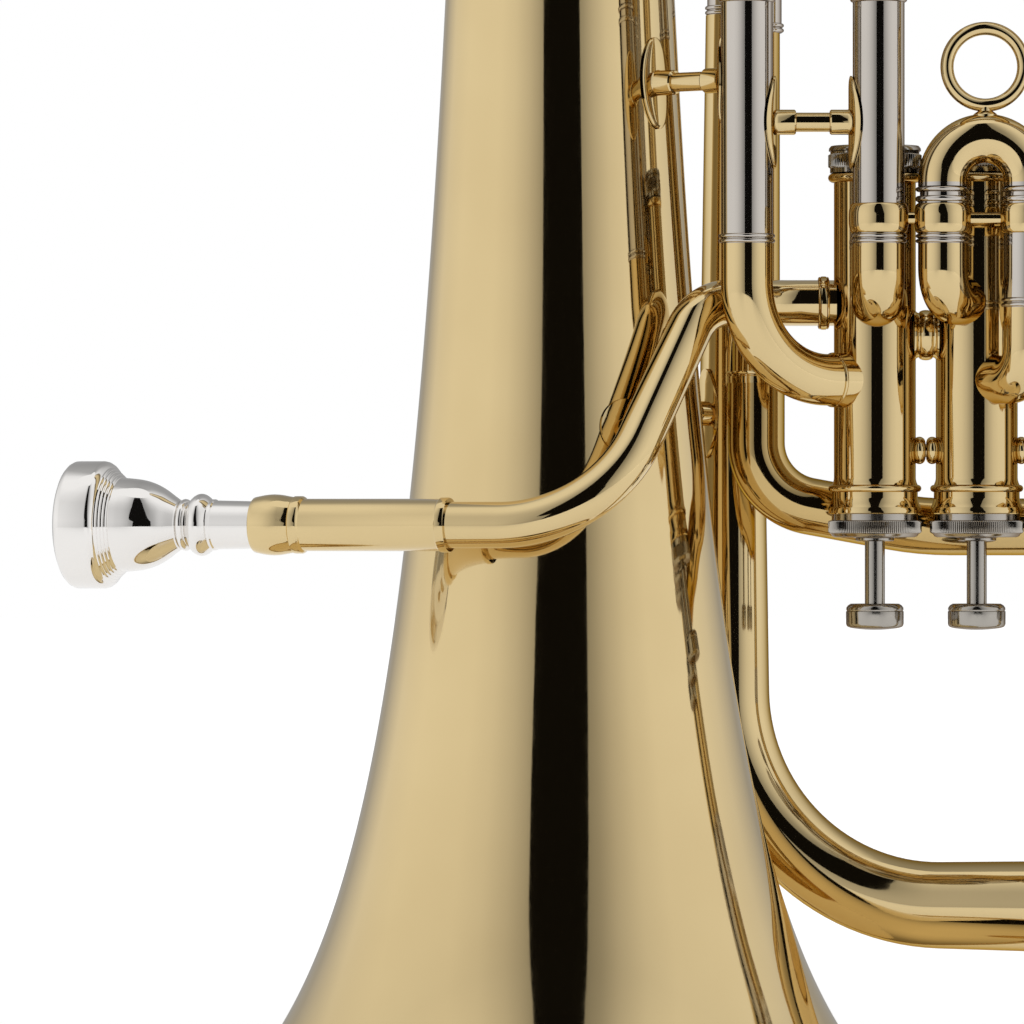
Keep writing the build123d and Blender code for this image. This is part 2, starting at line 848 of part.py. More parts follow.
shank_foot = receiver_length - shank_depth
cap_start = receiver_length - receiver_cap_length
with BuildPart() as receiver:
    with BuildSketch(lathe_plane(lead_start, receiver_dir)):
        with BuildLine():
            Polyline(
                (lead_r + slide_clearance, 0),
                (receiver_r + bead_proud / 2, 0),
                (receiver_r + bead_proud / 2, receiver_band),
                (receiver_r, receiver_band),
                (receiver_r, cap_start - receiver_band),
                (receiver_r + bead_proud, cap_start - receiver_band),
                (receiver_r + bead_proud, cap_start),
                (receiver_r + bead_proud / 2, cap_start),
            )
            ThreePointArc(
                (receiver_r + bead_proud / 2, cap_start),
                (receiver_cap_r, (cap_start + receiver_length) / 2),
                (receiver_cap_r - bead_proud, receiver_length),
            )
            Polyline(
                (receiver_cap_r - bead_proud, receiver_length),
                (shank_mouth_r + shank_clearance, receiver_length),
                (shank_end_r + shank_clearance, shank_foot),
                (receiver_bore_r, shank_foot),
                (receiver_bore_r, lead_socket),
                (lead_r + slide_clearance, lead_socket),
                (lead_r + slide_clearance, 0),
            )
        make_face()
    revolve(axis=Axis(lead_start, receiver_dir))
save(receiver.part, "receiver")

# ------------------------------------------------------------ mouthpiece
rim_centre = lead_start + receiver_dir * (receiver_length + mouthpiece_length - shank_depth)
rim_mid_r = (cup_r + rim_r) / 2
shank_visible = mouthpiece_length - shank_depth
with BuildPart() as mouthpiece:
    with BuildSketch(lathe_plane(rim_centre, receiver_dir * -1)):
        with BuildLine():
            shoulder = (rim_r - 0.5 * rim_round, 0.4 * rim_round)
            ThreePointArc((cup_r, rim_round), (rim_mid_r - 0.4 * rim_round, 0), shoulder)
            Line(shoulder, (rim_r, rim_round))
            Line((rim_r, rim_round), (rim_r, rim_length))
            Line((rim_r, rim_length), (cup_back_r, rim_length))
            Spline(
                (cup_back_r, rim_length),
                (0.85 * cup_back_r, rim_length + 0.25 * (neck_z - rim_length)),
                (0.57 * cup_back_r, rim_length + 0.66 * (neck_z - rim_length)),
                (neck_r, neck_z),
            )
            Polyline(
                (neck_r, neck_z),
                (neck_r + bead_proud, neck_z + 1),
                (neck_r + bead_proud, neck_z + 2),
                (neck_r, neck_z + 3),
            )
            ThreePointArc((neck_r, neck_z + 3), (bulb_r, neck_z + 6), (neck_r + bead_proud, neck_z + 9))
            Polyline(
                (neck_r + bead_proud, neck_z + 9),
                (shank_mouth_r, shank_visible),
                (shank_end_r, mouthpiece_length),
                (backbore_r, mouthpiece_length),
                (throat_r, cup_depth),
            )
            ThreePointArc((throat_r, cup_depth), (0.8 * cup_r, 0.5 * cup_depth), (cup_r, rim_round))
        make_face()
        for i in range(rim_groove_count):
            with Locations((rim_r, rim_length - rim_groove_pitch * (i + 1))):
                Rectangle(2 * rim_groove, rim_groove, mode=Mode.SUBTRACT)
    revolve(axis=Axis(rim_centre, receiver_dir))
save(mouthpiece.part, "mouthpiece")

# ------------------------------------------------------------ ferrules on the small tubing
small_joints = (
    (Vector(first_valve_x - casing_r - ferrule_stand, valve_y, inlet_z), Vector(1, 0, 0), lead_r),
    (Vector(feed_x, outlet_y, feed_foot - bead_width), up, outlet_r),
    (Vector(outlet_turn_x - outlet_elbow, valve_y, bridge_z), Vector(1, 0, 0), outlet_r),
    (
        Vector(first_valve_x - knuckle_bend - bead_width / 2, slide_y, lower_port_z),
        Vector(1, 0, 0),
        tube_r,
    ),
)
with BuildPart() as tube_ferrules:
    for joint, way, radius in small_joints:
        add(ring(joint, way, radius + ferrule_gap, bead_proud, small_ferrule_width))
save(tube_ferrules.part, "tube_ferrules")


# ------------------------------------------------------------ braces
def standing_brace(low, low_radii, high, high_radii, z, pad_height, pad_width):
    """Brace between two upright round bodies: a foot on each and a socketed rod between."""
    a = Vector(low[0], low[1], z)
    b = Vector(high[0], high[1], z)
    way = (b - a).normalized()
    start = a + way * (sum(low_radii) / 2 + rod_gap)
    end = b - way * (sum(high_radii) / 2 + rod_gap)
    with BuildPart() as brace:
        add(pad_on(low, *low_radii, z, high, pad_height, pad_width))
        add(pad_on(high, *high_radii, z, low, pad_height, pad_width))
        add(brace_rod(start, end))
    return brace.part


def band(radius_at, z, height):
    """A round body's radii at the lower and upper end of a brace foot."""
    return radius_at(z - height / 2), radius_at(z + height / 2)


first_left = slides["first"]["legs"][0]
first_right = slides["first"]["legs"][1]
third_left, third_right = slides["third"]["legs"]
main_left, main_right = slides["main"]["legs"]

with BuildPart() as bell_brace:
    add(
        standing_brace(
            (0, 0),
            band(bell_radius, bell_brace_z, pad_height),
            first_left,
            (tube_r, tube_r),
            bell_brace_z,
            pad_height,
            pad_width,
        )
    )
save(bell_brace.part, "bell_brace")

with BuildPart() as slide_braces:
    for a, b in ((first_left, first_right), (third_left, third_right)):
        add(standing_brace(a, (tube_r, tube_r), b, (tube_r, tube_r), slide_brace_z, pad_height, pad_width))
save(slide_braces.part, "slide_braces")

# Long brace from the bell's throat to the outer branch, clear in front of the main slide
throat_side = Vector(cos(radians(long_brace_turn)), -sin(radians(long_brace_turn)), 0)
branch_side = Vector(-cos(radians(long_brace_turn)), -sin(radians(long_brace_turn)), 0)
outer_axis = Vector(outer_branch_x, 0, 0)
long_start = throat_side * (bell_radius(long_brace_z) + rod_gap) + up * long_brace_z
long_end = outer_axis + branch_side * (branch_radius(long_brace_z) + rod_gap) + up * long_brace_z
with BuildPart() as long_brace:
    add(
        pad_on(
            (0, 0),
            *band(bell_radius, long_brace_z, pad_height),
            long_brace_z,
            tuple(throat_side),
            pad_height,
            2 * pad_width,
        )
    )
    add(
        pad_on(
            (outer_branch_x, 0),
            *band(branch_radius, long_brace_z, pad_height),
            long_brace_z,
            tuple(outer_axis + branch_side),
            pad_height,
            2 * pad_width,
        )
    )
    add(rod_between(long_start, long_end, brace_rod_r))
    for centre_x, radius_at in ((0, bell_radius), (outer_branch_x, branch_radius)):
        low, high = band(radius_at, long_brace_z, 2 * pad_height)
        with Locations((centre_x, 0, long_brace_z)):
            Cone(low, high, 2 * pad_height, mode=Mode.SUBTRACT)

with BuildPart() as branch_braces:
    add(
        standing_brace(
            main_left, (tube_r, tube_r), main_right, (tube_r, tube_r), main_brace_z, pad_height, pad_width
        )
    )
    add(
        standing_brace(
            (0, 0),
            band(bell_radius, inner_brace_z, pad_height),
            (inner_branch_x, inner_branch_y),
            band(inner_radius, inner_brace_z, pad_height),
            inner_brace_z,
            pad_height,
            pad_width,
        )
    )
    add(
        standing_brace(
            (valve_x[2], valve_y),
            (casing_r, casing_r),
            (outer_branch_x, 0),
            band(branch_radius, valve_brace_z, pad_height),
            valve_brace_z,
            pad_height,
            pad_width,
        )
    )
    add(long_brace.part)
save(branch_braces.part, "branch_braces")

lead_share = (lead_brace_z - slope_foot.Z) / (slope_top.Z - slope_foot.Z)
lead_point = slope_foot + (slope_top - slope_foot) * lead_share
with BuildPart() as leadpipe_brace:
    lead_way = Vector(lead_point.X, lead_point.Y, 0).normalized()
    lead_band = band(bell_radius, lead_brace_z, lead_pad)
    add(pad_on((0, 0), *lead_band, lead_brace_z, tuple(lead_way), lead_pad, lead_pad))
    lead_foot = lead_way * (bell_radius(lead_brace_z) + rod_gap) + up * lead_brace_z
    add(rod_between(lead_foot, lead_point, brace_rod_r))
    with BuildSketch(Plane(slope_foot, z_dir=slope_top - slope_foot)):
        Circle(lead_r + slide_clearance)
    extrude(amount=(slope_top - slope_foot).length, mode=Mode.SUBTRACT)
save(leadpipe_brace.part, "leadpipe_brace")

# Saddles that tie the slide sleeves to the casings and to each other
saddle_legs = (
    (first_right, tube_r, 0),
    (slides["second"]["legs"][0], second_tube_r, 1),
    (slides["second"]["legs"][1], second_tube_r, 1),
    (third_left, tube_r, 2),
)
with BuildPart() as casing_saddles:
    for place, radius, valve in saddle_legs:
        leg = Vector(*place, saddle_z)
        add(ring(leg, up, radius, saddle_proud, saddle_height))
        add(rod_between(leg, (valve_x[valve], valve_y, saddle_z), saddle_post_r))
    for (a, *_), (b, *_) in zip(saddle_legs, saddle_legs[1:]):
        add(rod_between((*a, saddle_z), (*b, saddle_z), saddle_rod_r))
    for place, radius, valve in saddle_legs:
        with Locations((*place, saddle_z)):
            Cylinder(radius + slide_clearance, 2 * saddle_height, mode=Mode.SUBTRACT)
        with Locations((valve_x[valve], valve_y, saddle_z)):
            Cylinder(casing_r, 2 * saddle_height, mode=Mode.SUBTRACT)
save(casing_saddles.part, "casing_saddles")

with BuildPart() as casing_braces:
    for i in range(2):
        left_end = Vector(valve_x[i], valve_y, casing_brace_z)
        right_end = Vector(valve_x[i + 1], valve_y, casing_brace_z)
        middle = (left_end + right_end) * 0.5
        add(rod_between(left_end, right_end, saddle_rod_r))
        for side in (-1, 1):
            centre = middle + Vector(side * casing_bead_offset, 0, 0)
            add(ring(centre, Vector(1, 0, 0), saddle_rod_r / 2, casing_bead_r - saddle_rod_r / 2, bead_width))
    for x in valve_x:
        with Locations((x, valve_y, casing_brace_z)):
            Cylinder(casing_r, 2 * saddle_height, mode=Mode.SUBTRACT)
save(casing_braces.part, "casing_braces")

# ------------------------------------------------------------ water key on the main slide
key_top = crook_top(slides["main"])
key_way = (Vector(*main_right, 0) - Vector(*main_left, 0)).normalized()
key_side = key_way.cross(up)
main_route = crook_route(slides["main"])
pin_centre = key_top + key_way * key_pivot_reach + up * key_pin_lift


def key_block(along, across, height, centre, mode=Mode.ADD):
    """Block squared to the water key's lever."""
    with BuildSketch(Plane(centre, x_dir=key_way, z_dir=up)) as block:
        Rectangle(along, across)
    extrude(block.sketch, amount=height / 2, both=True, mode=mode)


with BuildPart() as key_saddle:
    add(rod_between(key_top - up * tube_r, key_top + up * key_nipple_height, key_nipple_r))
    ear_reach = (key_lever_width + key_ear) / 2 + key_ear_gap
    for side in (-1, 1):
        ear = key_top + key_way * key_pivot_reach + key_side * side * ear_reach
        key_block(key_ear_length, key_ear, 2 * (key_pin_lift + key_ear_length / 2), ear)
    pin_reach = key_side * key_lever_width
    add(rod_between(pin_centre - pin_reach, pin_centre + pin_reach, key_pin_r))
    with BuildSketch(Plane(main_route @ 0, z_dir=main_route % 0)):
        Circle(tube_r)
    sweep(path=main_route, mode=Mode.SUBTRACT)
    with BuildSketch(Plane(key_top, z_dir=up)):
        Circle(key_bore_r)
    extrude(amount=key_nipple_height, mode=Mode.SUBTRACT)
save(key_saddle.part, "water_key_saddle")

lever_z = key_nipple_height + key_cork_height + key_lever_thickness / 2
with BuildPart() as key_lever:
    lever_centre = key_top + up * lever_z + key_way * (key_tab_reach - key_nipple_r) / 2
    key_block(key_tab_reach + key_nipple_r, key_lever_width, key_lever_thickness, lever_centre)
    tab_centre = key_top + up * lever_z + key_way * key_tab_reach
    with BuildSketch(Plane(tab_centre, x_dir=key_way, z_dir=up)):
        Ellipse(key_tab_length / 2, key_lever_width)
    extrude(amount=key_lever_thickness / 2, both=True)
    key_block(key_ear_length, key_lever_width, 2 * key_pin_r + key_lever_thickness, pin_centre)
    way = key_side * key_lever_width
    with BuildSketch(Plane(pin_centre - way, z_dir=key_side)):
        Circle(key_pin_r + key_pin_clearance)
    extrude(amount=2 * key_lever_width, mode=Mode.SUBTRACT)
save(key_lever.part, "water_key_lever")

with BuildPart() as key_cork:
    foot = key_top + up * (key_nipple_height + key_cork_gap)
    add(rod_between(foot, foot + up * (key_cork_height - key_cork_gap), key_cork_r))
save(key_cork.part, "water_key_cork")
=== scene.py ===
import json
import math

import bmesh
import bpy
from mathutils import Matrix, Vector


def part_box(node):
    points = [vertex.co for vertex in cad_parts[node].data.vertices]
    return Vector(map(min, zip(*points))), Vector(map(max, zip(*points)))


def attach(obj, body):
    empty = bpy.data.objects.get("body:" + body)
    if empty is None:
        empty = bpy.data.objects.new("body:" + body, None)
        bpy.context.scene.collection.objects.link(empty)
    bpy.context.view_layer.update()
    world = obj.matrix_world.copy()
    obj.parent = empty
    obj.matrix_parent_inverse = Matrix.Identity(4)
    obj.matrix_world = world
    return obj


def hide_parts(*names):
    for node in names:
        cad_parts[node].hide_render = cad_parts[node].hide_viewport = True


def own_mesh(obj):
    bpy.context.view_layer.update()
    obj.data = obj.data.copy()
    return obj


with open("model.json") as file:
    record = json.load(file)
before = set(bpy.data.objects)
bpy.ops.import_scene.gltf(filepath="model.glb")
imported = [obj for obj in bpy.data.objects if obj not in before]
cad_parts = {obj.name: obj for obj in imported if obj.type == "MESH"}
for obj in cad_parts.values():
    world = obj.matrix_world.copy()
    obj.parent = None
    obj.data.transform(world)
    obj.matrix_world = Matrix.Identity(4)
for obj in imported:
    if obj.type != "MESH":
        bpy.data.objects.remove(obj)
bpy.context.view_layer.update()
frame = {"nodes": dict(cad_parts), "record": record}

# Looks of a baritone horn over its CAD frame. Lengths of the horn are in millimetres, and MM
# turns them into metres when a mesh is made; the studio is in metres. Places come from the
# boxes of the CAD nodes, and the sizes below, which no box gives, repeat the CAD's own.
MM = 0.001
# Facets round a large form and round a slide's tube, and the longest run of a tube's mesh
SEGMENTS = 96
TUBE_SEGMENTS = 72
TUBE_RUN = 8
SLIDE_R = 7.85
SECOND_SLIDE_R = 7.4
TUBE_WALL = 0.5
CASING_R = 12.5
CASING_BORE = 11.3
PORT_REACH = 11.9
INLET_Z = 268.0
UPPER_PORT_Z = 268.3
LOWER_PORT_Z = 244.4
KNUCKLE_BEND = 10.0
LEAD_R = 7.0
OUTLET_R = 8.8
FEED_R = 7.3

slot_of = {part["node"]: part["material_slot"] for part in frame["record"]["subparts"]}
body_of = {
    node: body for body, members in frame["record"]["behaviour"]["bodies"].items() for node in members
}


# ------------------------------------------------------------------ materials
def colour(r, g, b):
    """sRGB bytes to a linear colour."""
    def linear(c):
        c /= 255
        return c / 12.92 if c <= 0.04045 else ((c + 0.055) / 1.055) ** 2.4
    return (linear(r), linear(g), linear(b), 1.0)


class Nodes:
    """Short hand for building a node tree."""

    def __init__(self, tree):
        self.tree = tree
        tree.nodes.clear()

    def add(self, kind, **values):
        node = self.tree.nodes.new(kind)
        for key, value in values.items():
            setattr(node, key, value)
        return node

    def link(self, source, target):
        self.tree.links.new(source, target)

    def noise(self, where, scale, detail=3.0, rough=0.5):
        node = self.add("ShaderNodeTexNoise")
        node.inputs["Scale"].default_value = scale
        node.inputs["Detail"].default_value = detail
        node.inputs["Roughness"].default_value = rough
        self.link(where, node.inputs["Vector"])
        return node.outputs["Fac"]

    def maths(self, operation, *values):
        """Math node on sockets or plain numbers."""
        node = self.add("ShaderNodeMath", operation=operation)
        for socket, value in zip(node.inputs, values):
            if isinstance(value, float):
                socket.default_value = value
            else:
                self.link(value, socket)
        return node.outputs["Value"]

    def spread(self, value, low, high, start=0.0, end=1.0):
        """The value's way from start to end, as a way from low to high."""
        node = self.add("ShaderNodeMapRange")
        node.inputs["From Min"].default_value = start
        node.inputs["From Max"].default_value = end
        node.inputs["To Min"].default_value = low
        node.inputs["To Max"].default_value = high
        self.link(value, node.inputs["Value"])
        return node.outputs["Result"]

    def ramp(self, value, stops):
        node = self.add("ShaderNodeValToRGB")
        elements = node.color_ramp.elements
        while len(elements) < len(stops):
            elements.new(0.5)
        for element, (place, shade) in zip(elements, stops):
            element.position = place
            element.color = shade
        self.link(value, node.inputs["Fac"])
        return node.outputs["Color"]

    def bump(self, height, strength, distance):
        node = self.add("ShaderNodeBump")
        node.inputs["Strength"].default_value = strength
        node.inputs["Distance"].default_value = distance
        self.link(height, node.inputs["Height"])
        return node.outputs["Normal"]


def blank_look(name):
    """New material with an empty node tree, the tree, and its output."""
    material = bpy.data.materials.new(name)
    material.use_nodes = True
    n = Nodes(material.node_tree)
    return material, n, n.add("ShaderNodeOutputMaterial")


def metal(name, low, high, rough, grain, wave=0.0, edge=(1, 1, 1, 1)):
    """Polished metal: a colour that drifts a little, a hand-buffed surface with fine
    streaks, a very shallow waviness where it is drawn or spun tube, and a tint that
    deepens it at grazing angles, as lacquer and tarnish do."""
    material, n, out = blank_look(name)
    shader = n.add("ShaderNodeBsdfPrincipled")
    n.link(shader.outputs["BSDF"], out.inputs["Surface"])
    shader.inputs["Metallic"].default_value = 1.0
    shader.inputs["Specular Tint"].default_value = edge
    place = n.add("ShaderNodeTexCoord").outputs["Object"]
    drift = n.noise(place, 14.0, 3.0)
    n.link(n.ramp(drift, [(0.3, low), (0.7, high)]), shader.inputs["Base Color"])
    stretch = n.add("ShaderNodeMapping")
    stretch.inputs["Scale"].default_value = (1.0, 1.0, 0.06)
    n.link(place, stretch.inputs["Vector"])
    streak = n.noise(stretch.outputs["Vector"], grain, 4.0, 0.6)
    n.link(n.spread(streak, rough[0], rough[1], 0.3, 0.75), shader.inputs["Roughness"])
    normal = n.bump(streak, 0.05, 0.00002)
    if wave:
        slow = n.noise(place, 22.0, 1.0)
        second = n.add("ShaderNodeBump")
        second.inputs["Strength"].default_value = 1.0
        second.inputs["Distance"].default_value = wave
        n.link(slow, second.inputs["Height"])
        n.link(normal, second.inputs["Normal"])
        normal = second.outputs["Normal"]
    n.link(normal, shader.inputs["Normal"])
    return material


def cork_look():
    """Agglomerated cork: pale grains, dark pores, a dry surface."""
    material, n, out = blank_look("cork")
    shader = n.add("ShaderNodeBsdfPrincipled")
    n.link(shader.outputs["BSDF"], out.inputs["Surface"])
    shader.inputs["Roughness"].default_value = 0.85
    place = n.add("ShaderNodeTexCoord").outputs["Object"]
    cells = n.add("ShaderNodeTexVoronoi")
    cells.inputs["Scale"].default_value = 1400.0
    n.link(place, cells.inputs["Vector"])
    pale, dark = colour(196, 156, 108), colour(120, 82, 48)
    grains = n.ramp(cells.outputs["Distance"], [(0.0, pale), (0.6, dark)])
    n.link(grains, shader.inputs["Base Color"])
    n.link(n.bump(cells.outputs["Distance"], 0.4, 0.0002), shader.inputs["Normal"])
    return material


# Low and high colour, low and high roughness, grain and waviness of each finish
BRASS = (0.665, 0.512, 0.265, 1), (0.72, 0.563, 0.30, 1), (0.035, 0.075), 900.0, 0.00003
# Darker brass: painted shade for the tubes behind the casings
PAINTED_SHADE_BRASS = (0.53, 0.375, 0.155, 1), (0.59, 0.425, 0.185, 1), (0.04, 0.08), 900.0, 0.00003
NICKEL = (0.54, 0.50, 0.452, 1), (0.60, 0.56, 0.512, 1), (0.05, 0.10), 1400.0, 0.0
WORN_NICKEL = (0.36, 0.335, 0.30, 1), (0.44, 0.415, 0.375, 1), (0.09, 0.16), 1400.0, 0.0
KNURLED_NICKEL = (0.42, 0.388, 0.345, 1), (0.50, 0.466, 0.418, 1), (0.10, 0.18), 1400.0, 0.0
SILVER = (0.80, 0.775, 0.745, 1), (0.86, 0.84, 0.815, 1), (0.03, 0.06), 1200.0
MONEL = (0.38, 0.37, 0.35, 1), (0.46, 0.45, 0.43, 1), (0.22, 0.34), 2500.0
STEEL = (0.32, 0.32, 0.32, 1), (0.42, 0.42, 0.41, 1), (0.2, 0.35), 3000.0
BROWN_EDGE = (0.55, 0.38, 0.18, 1)
GREY_EDGE = (0.40, 0.33, 0.27, 1)

looks = {
    "lacquered_brass": metal("lacquered_brass", *BRASS, BROWN_EDGE),
    "nickel_silver": metal("nickel_silver", *NICKEL, GREY_EDGE),
    "silver_plate": metal("silver_plate", *SILVER),
    "monel": metal("monel", *MONEL),
    "spring_steel": metal("spring_steel", *STEEL),
    "cork": cork_look(),
}
# Stems, finger buttons and bottom caps are duller, and the top caps' knurling is brighter
worn_nickel = metal("worn_nickel", *WORN_NICKEL, GREY_EDGE)
knurled_nickel = metal("knurled_nickel", *KNURLED_NICKEL, GREY_EDGE)
# Painted shade: the outlet bow behind the casings, and the feed pipe, get a darker brass colour that stands
# in for the shade between the tubes
painted_shade_brass = metal("painted_shade_brass", *PAINTED_SHADE_BRASS, BROWN_EDGE)
# The bell, bottom bow, outer branch, leadpipe and receiver are as bright at their edges
bright_brass = metal("bright_brass", *BRASS)


# ------------------------------------------------------------------ mesh helpers
def box(*nodes):
    """Box of one or more CAD nodes in millimetres."""
    lows, highs = zip(*(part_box(node) for node in nodes))
    low = Vector(min(v[i] for v in lows) for i in range(3)) / MM
    high = Vector(max(v[i] for v in highs) for i in range(3)) / MM
    return low, high


def make(name, shells, nodes, edge=34.0, look=None):
    """One piece from shells that replaces the named nodes. A shell is a pair: its rings, all
    of one length, and whether it is closed from the last ring to the first."""
    mesh = bpy.data.meshes.new(name)
    bm = bmesh.new()
    for rings, closed in shells:
        grid = [[bm.verts.new(p * MM) for p in ring] for ring in rings]
        rows = len(grid)
        for i in range(rows if closed else rows - 1):
            a, b = grid[i], grid[(i + 1) % rows]
            for j in range(len(a)):
                k = (j + 1) % len(a)
                bm.faces.new((a[j], a[k], b[k], b[j]))
    bmesh.ops.remove_doubles(bm, verts=bm.verts, dist=1e-6)
    bmesh.ops.dissolve_degenerate(bm, edges=bm.edges, dist=1e-6)
    bmesh.ops.recalc_face_normals(bm, faces=bm.faces)
    bm.to_mesh(mesh)
    bm.free()
    mesh.polygons.foreach_set("use_smooth", [True] * len(mesh.polygons))
    mesh.set_sharp_from_angle(angle=math.radians(edge))
    piece = bpy.data.objects.new(name, mesh)
    bpy.context.scene.collection.objects.link(piece)
    slot = slot_of[nodes[0]]
    mesh.materials.append(look or looks[slot])
    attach(piece, body_of[nodes[0]])
    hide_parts(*nodes)
    return piece


def axes_for(direction):
    """Two unit vectors square to a direction."""
    helper = Vector((0, 0, 1)) if abs(direction.z) < 0.9 else Vector((1, 0, 0))
    u = direction.cross(helper).normalized()
    return u, direction.cross(u).normalized()


def turned(profile, origin, direction=(0, 0, 1), closed=True, segments=SEGMENTS, ripple=None):
    """Rings of a turned form. Profile points are (radius, distance along the axis); ripple
    is (teeth, depth, first row, last row) and cuts a knurl into those rows."""
    axis = Vector(direction).normalized()
    u, v = axes_for(axis)
    rings = []
    for row, (radius, along) in enumerate(profile):
        ring = []
        for j in range(segments):
            angle = 2 * math.pi * j / segments
            r = radius
            if ripple and ripple[2] <= row <= ripple[3]:
                r -= ripple[1] * abs(2 * ((ripple[0] * j / segments) % 1.0) - 1)
            ring.append(Vector(origin) + axis * along + (u * math.cos(angle) + v * math.sin(angle)) * r)
        rings.append(ring)
    return rings, closed


def arc(centre, radius, start, end, count):
    """Points of a round in a profile, from one angle to another in degrees."""
    points = []
    for i in range(count + 1):
        angle = math.radians(start + (end - start) * i / count)
        points.append((centre[0] + radius * math.cos(angle), centre[1] + radius * math.sin(angle)))
    return points


def bead(radius, middle, width, proud, count=8):
    """Rounded bead on a tube's profile, drawn upwards."""
    points = []
    for i in range(count + 1):
        angle = math.pi * i / count
        points.append((radius + proud * math.sin(angle), middle - width / 2 * math.cos(angle)))
    return points


def rounded(points, radii, step=3.0):
    """Points along a route of straight runs joined by arcs."""
    points = [Vector(p) for p in points]
    route = [points[0]]
    for i in range(1, len(points) - 1):
        back = (points[i - 1] - points[i]).normalized()
        on = (points[i + 1] - points[i]).normalized()
        turn = math.pi - back.angle(on)
        cut = radii[i - 1] * math.tan(turn / 2)
        middle = (back + on).normalized()
        centre = points[i] + middle * (radii[i - 1] / math.cos(turn / 2))
        a = points[i] + back * cut - centre
        b = points[i] + on * cut - centre
        count = max(4, round(math.degrees(turn) / step))
        for k in range(count + 1):
            share = k / count
            swung = a * math.sin((1 - share) * turn) + b * math.sin(share * turn)
            route.append(centre + swung / math.sin(turn))
    route.append(points[-1])
    return route


def spaced(route, gap):
    """The same route with its long straight runs divided."""
    fine = [route[0]]
    for a, b in zip(route, route[1:]):
        count = max(1, math.ceil((b - a).length / gap))
        for k in range(1, count + 1):
            fine.append(a.lerp(b, k / count))
    return fine


def piped(route, radii, wall, segments=TUBE_SEGMENTS, gap=TUBE_RUN):
    """Shell of a hollow tube along a route: one outer radius, or those of its start, middle
    and end. Runs longer than the gap are divided."""
    route = spaced(route, gap)
    lengths = [0.0]
    for a, b in zip(route, route[1:]):
        lengths.append(lengths[-1] + (b - a).length)
    frames = []
    u = None
    for i, point in enumerate(route):
        ahead = route[min(i + 1, len(route) - 1)] - point
        behind = point - route[max(i - 1, 0)]
        if i == 0:
            tangent = ahead.normalized()
        elif i == len(route) - 1:
            tangent = behind.normalized()
        else:
            tangent = (ahead.normalized() + behind.normalized()).normalized()
        if u is None:
            u = axes_for(tangent)[0]
        u = (u - tangent * u.dot(tangent)).normalized()
        frames.append((point, u.copy(), tangent.cross(u)))
    if len(radii) == 1:
        sizes = [radii[0]] * len(route)
    else:
        first, mid, last = radii
        sizes = []
        for length in lengths:
            t = length / lengths[-1]
            sizes.append(first * (1 - t) * (1 - 2 * t) + 4 * mid * t * (1 - t) + last * t * (2 * t - 1))
    rings = []
    for order, inset in ((range(len(route)), 0.0), (reversed(range(len(route))), wall)):
        for i in order:
            point, across, over = frames[i]
            ring = []
            for j in range(segments):
                angle = 2 * math.pi * j / segments
                out = across * math.cos(angle) + over * math.sin(angle)
                ring.append(point + out * (sizes[i] - inset))
            rings.append(ring)
    return rings, True


def rod(start, end, radius, trim_start=0.0, trim_end=0.0):
    """Round rod from one point to another, trimmed where it meets what it joins."""
    start, end = Vector(start), Vector(end)
    length = (end - start).length - trim_end
    profile = [(0, trim_start), (radius, trim_start), (radius, length), (0, length)]
    return turned(profile, start, end - start, closed=False, segments=40)


def coil(at, radius, wire, low, high, turns, steps=40, sides=12):
    """Wire wound round an upright axis, closed at both ends."""
    rings = []
    centres = []
    for i in range(turns * steps + 1):
        angle = 2 * math.pi * i / steps
        out = Vector((math.cos(angle), math.sin(angle), 0))
        centre = Vector((at[0], at[1], low + (high - low) * i / (turns * steps))) + out * radius
        centres.append(centre)
        rings.append([
            centre + (out * math.cos(t) + Vector((0, 0, 1)) * math.sin(t)) * wire
            for t in (2 * math.pi * j / sides for j in range(sides))
        ])
    return [[centres[0]] * sides] + rings + [[centres[-1]] * sides], False


FOOT_GAP = 0.2
FOOT_SKIN = 1.3
FOOT_WIDTH = 13.5
SOCKET_SHARE = 0.28


def brace_foot(at, radius_at, z, toward, height):
    """Oval foot of a brace: a thin skin that follows a round upright body."""
    face = math.atan2(toward[1] - at[1], toward[0] - at[0])
    rings = []
    for i in range(-20, 21):
        t = math.sin(math.pi * i / 40)
        level = z + t * height / 2
        r = radius_at(level)
        half = math.asin(FOOT_WIDTH / 2 * math.sqrt(max(0.0, 1 - t * t)) / (r + FOOT_SKIN))
        across = [k / 8 for k in range(-8, 9)]
        rise = [(share, FOOT_SKIN - 0.6 * abs(share) ** 6 - 0.5 * abs(t) ** 12) for share in across]
        rise += [(share, FOOT_GAP) for share in reversed(across)]
        ring = []
        for share, up in rise:
            angle, reach = face + half * share, r + up
            spot = (at[0] + reach * math.cos(angle), at[1] + reach * math.sin(angle), level)
            ring.append(Vector(spot))
        rings.append(ring)
    return rings, False


def standing_brace(a, radius_a, b, radius_b, z, height):
    """Shells of a brace between two upright bodies: two feet and a rod in two sockets. Each
    body is its place and a function that gives its radius at a height."""
    start, end = Vector((*a, z)), Vector((*b, z))
    way = (end - start).normalized()
    first = start + way * (radius_a(z) + 0.3)
    length = (end - way * (radius_b(z) + 0.3) - first).length
    socket = SOCKET_SHARE * length
    half = [(0, 0), (4.6, 0), (4.1, 0.5), (3.8, 1.3)]
    half += [(3.8, socket - 0.4), (3.5, socket), (2.9, socket + 0.15)]
    profile = half + [(r, length - along) for r, along in reversed(half)]
    return [
        brace_foot(a, radius_a, z, b, height),
        brace_foot(b, radius_b, z, a, height),
        turned(profile, first, way, closed=False, segments=56),
    ]


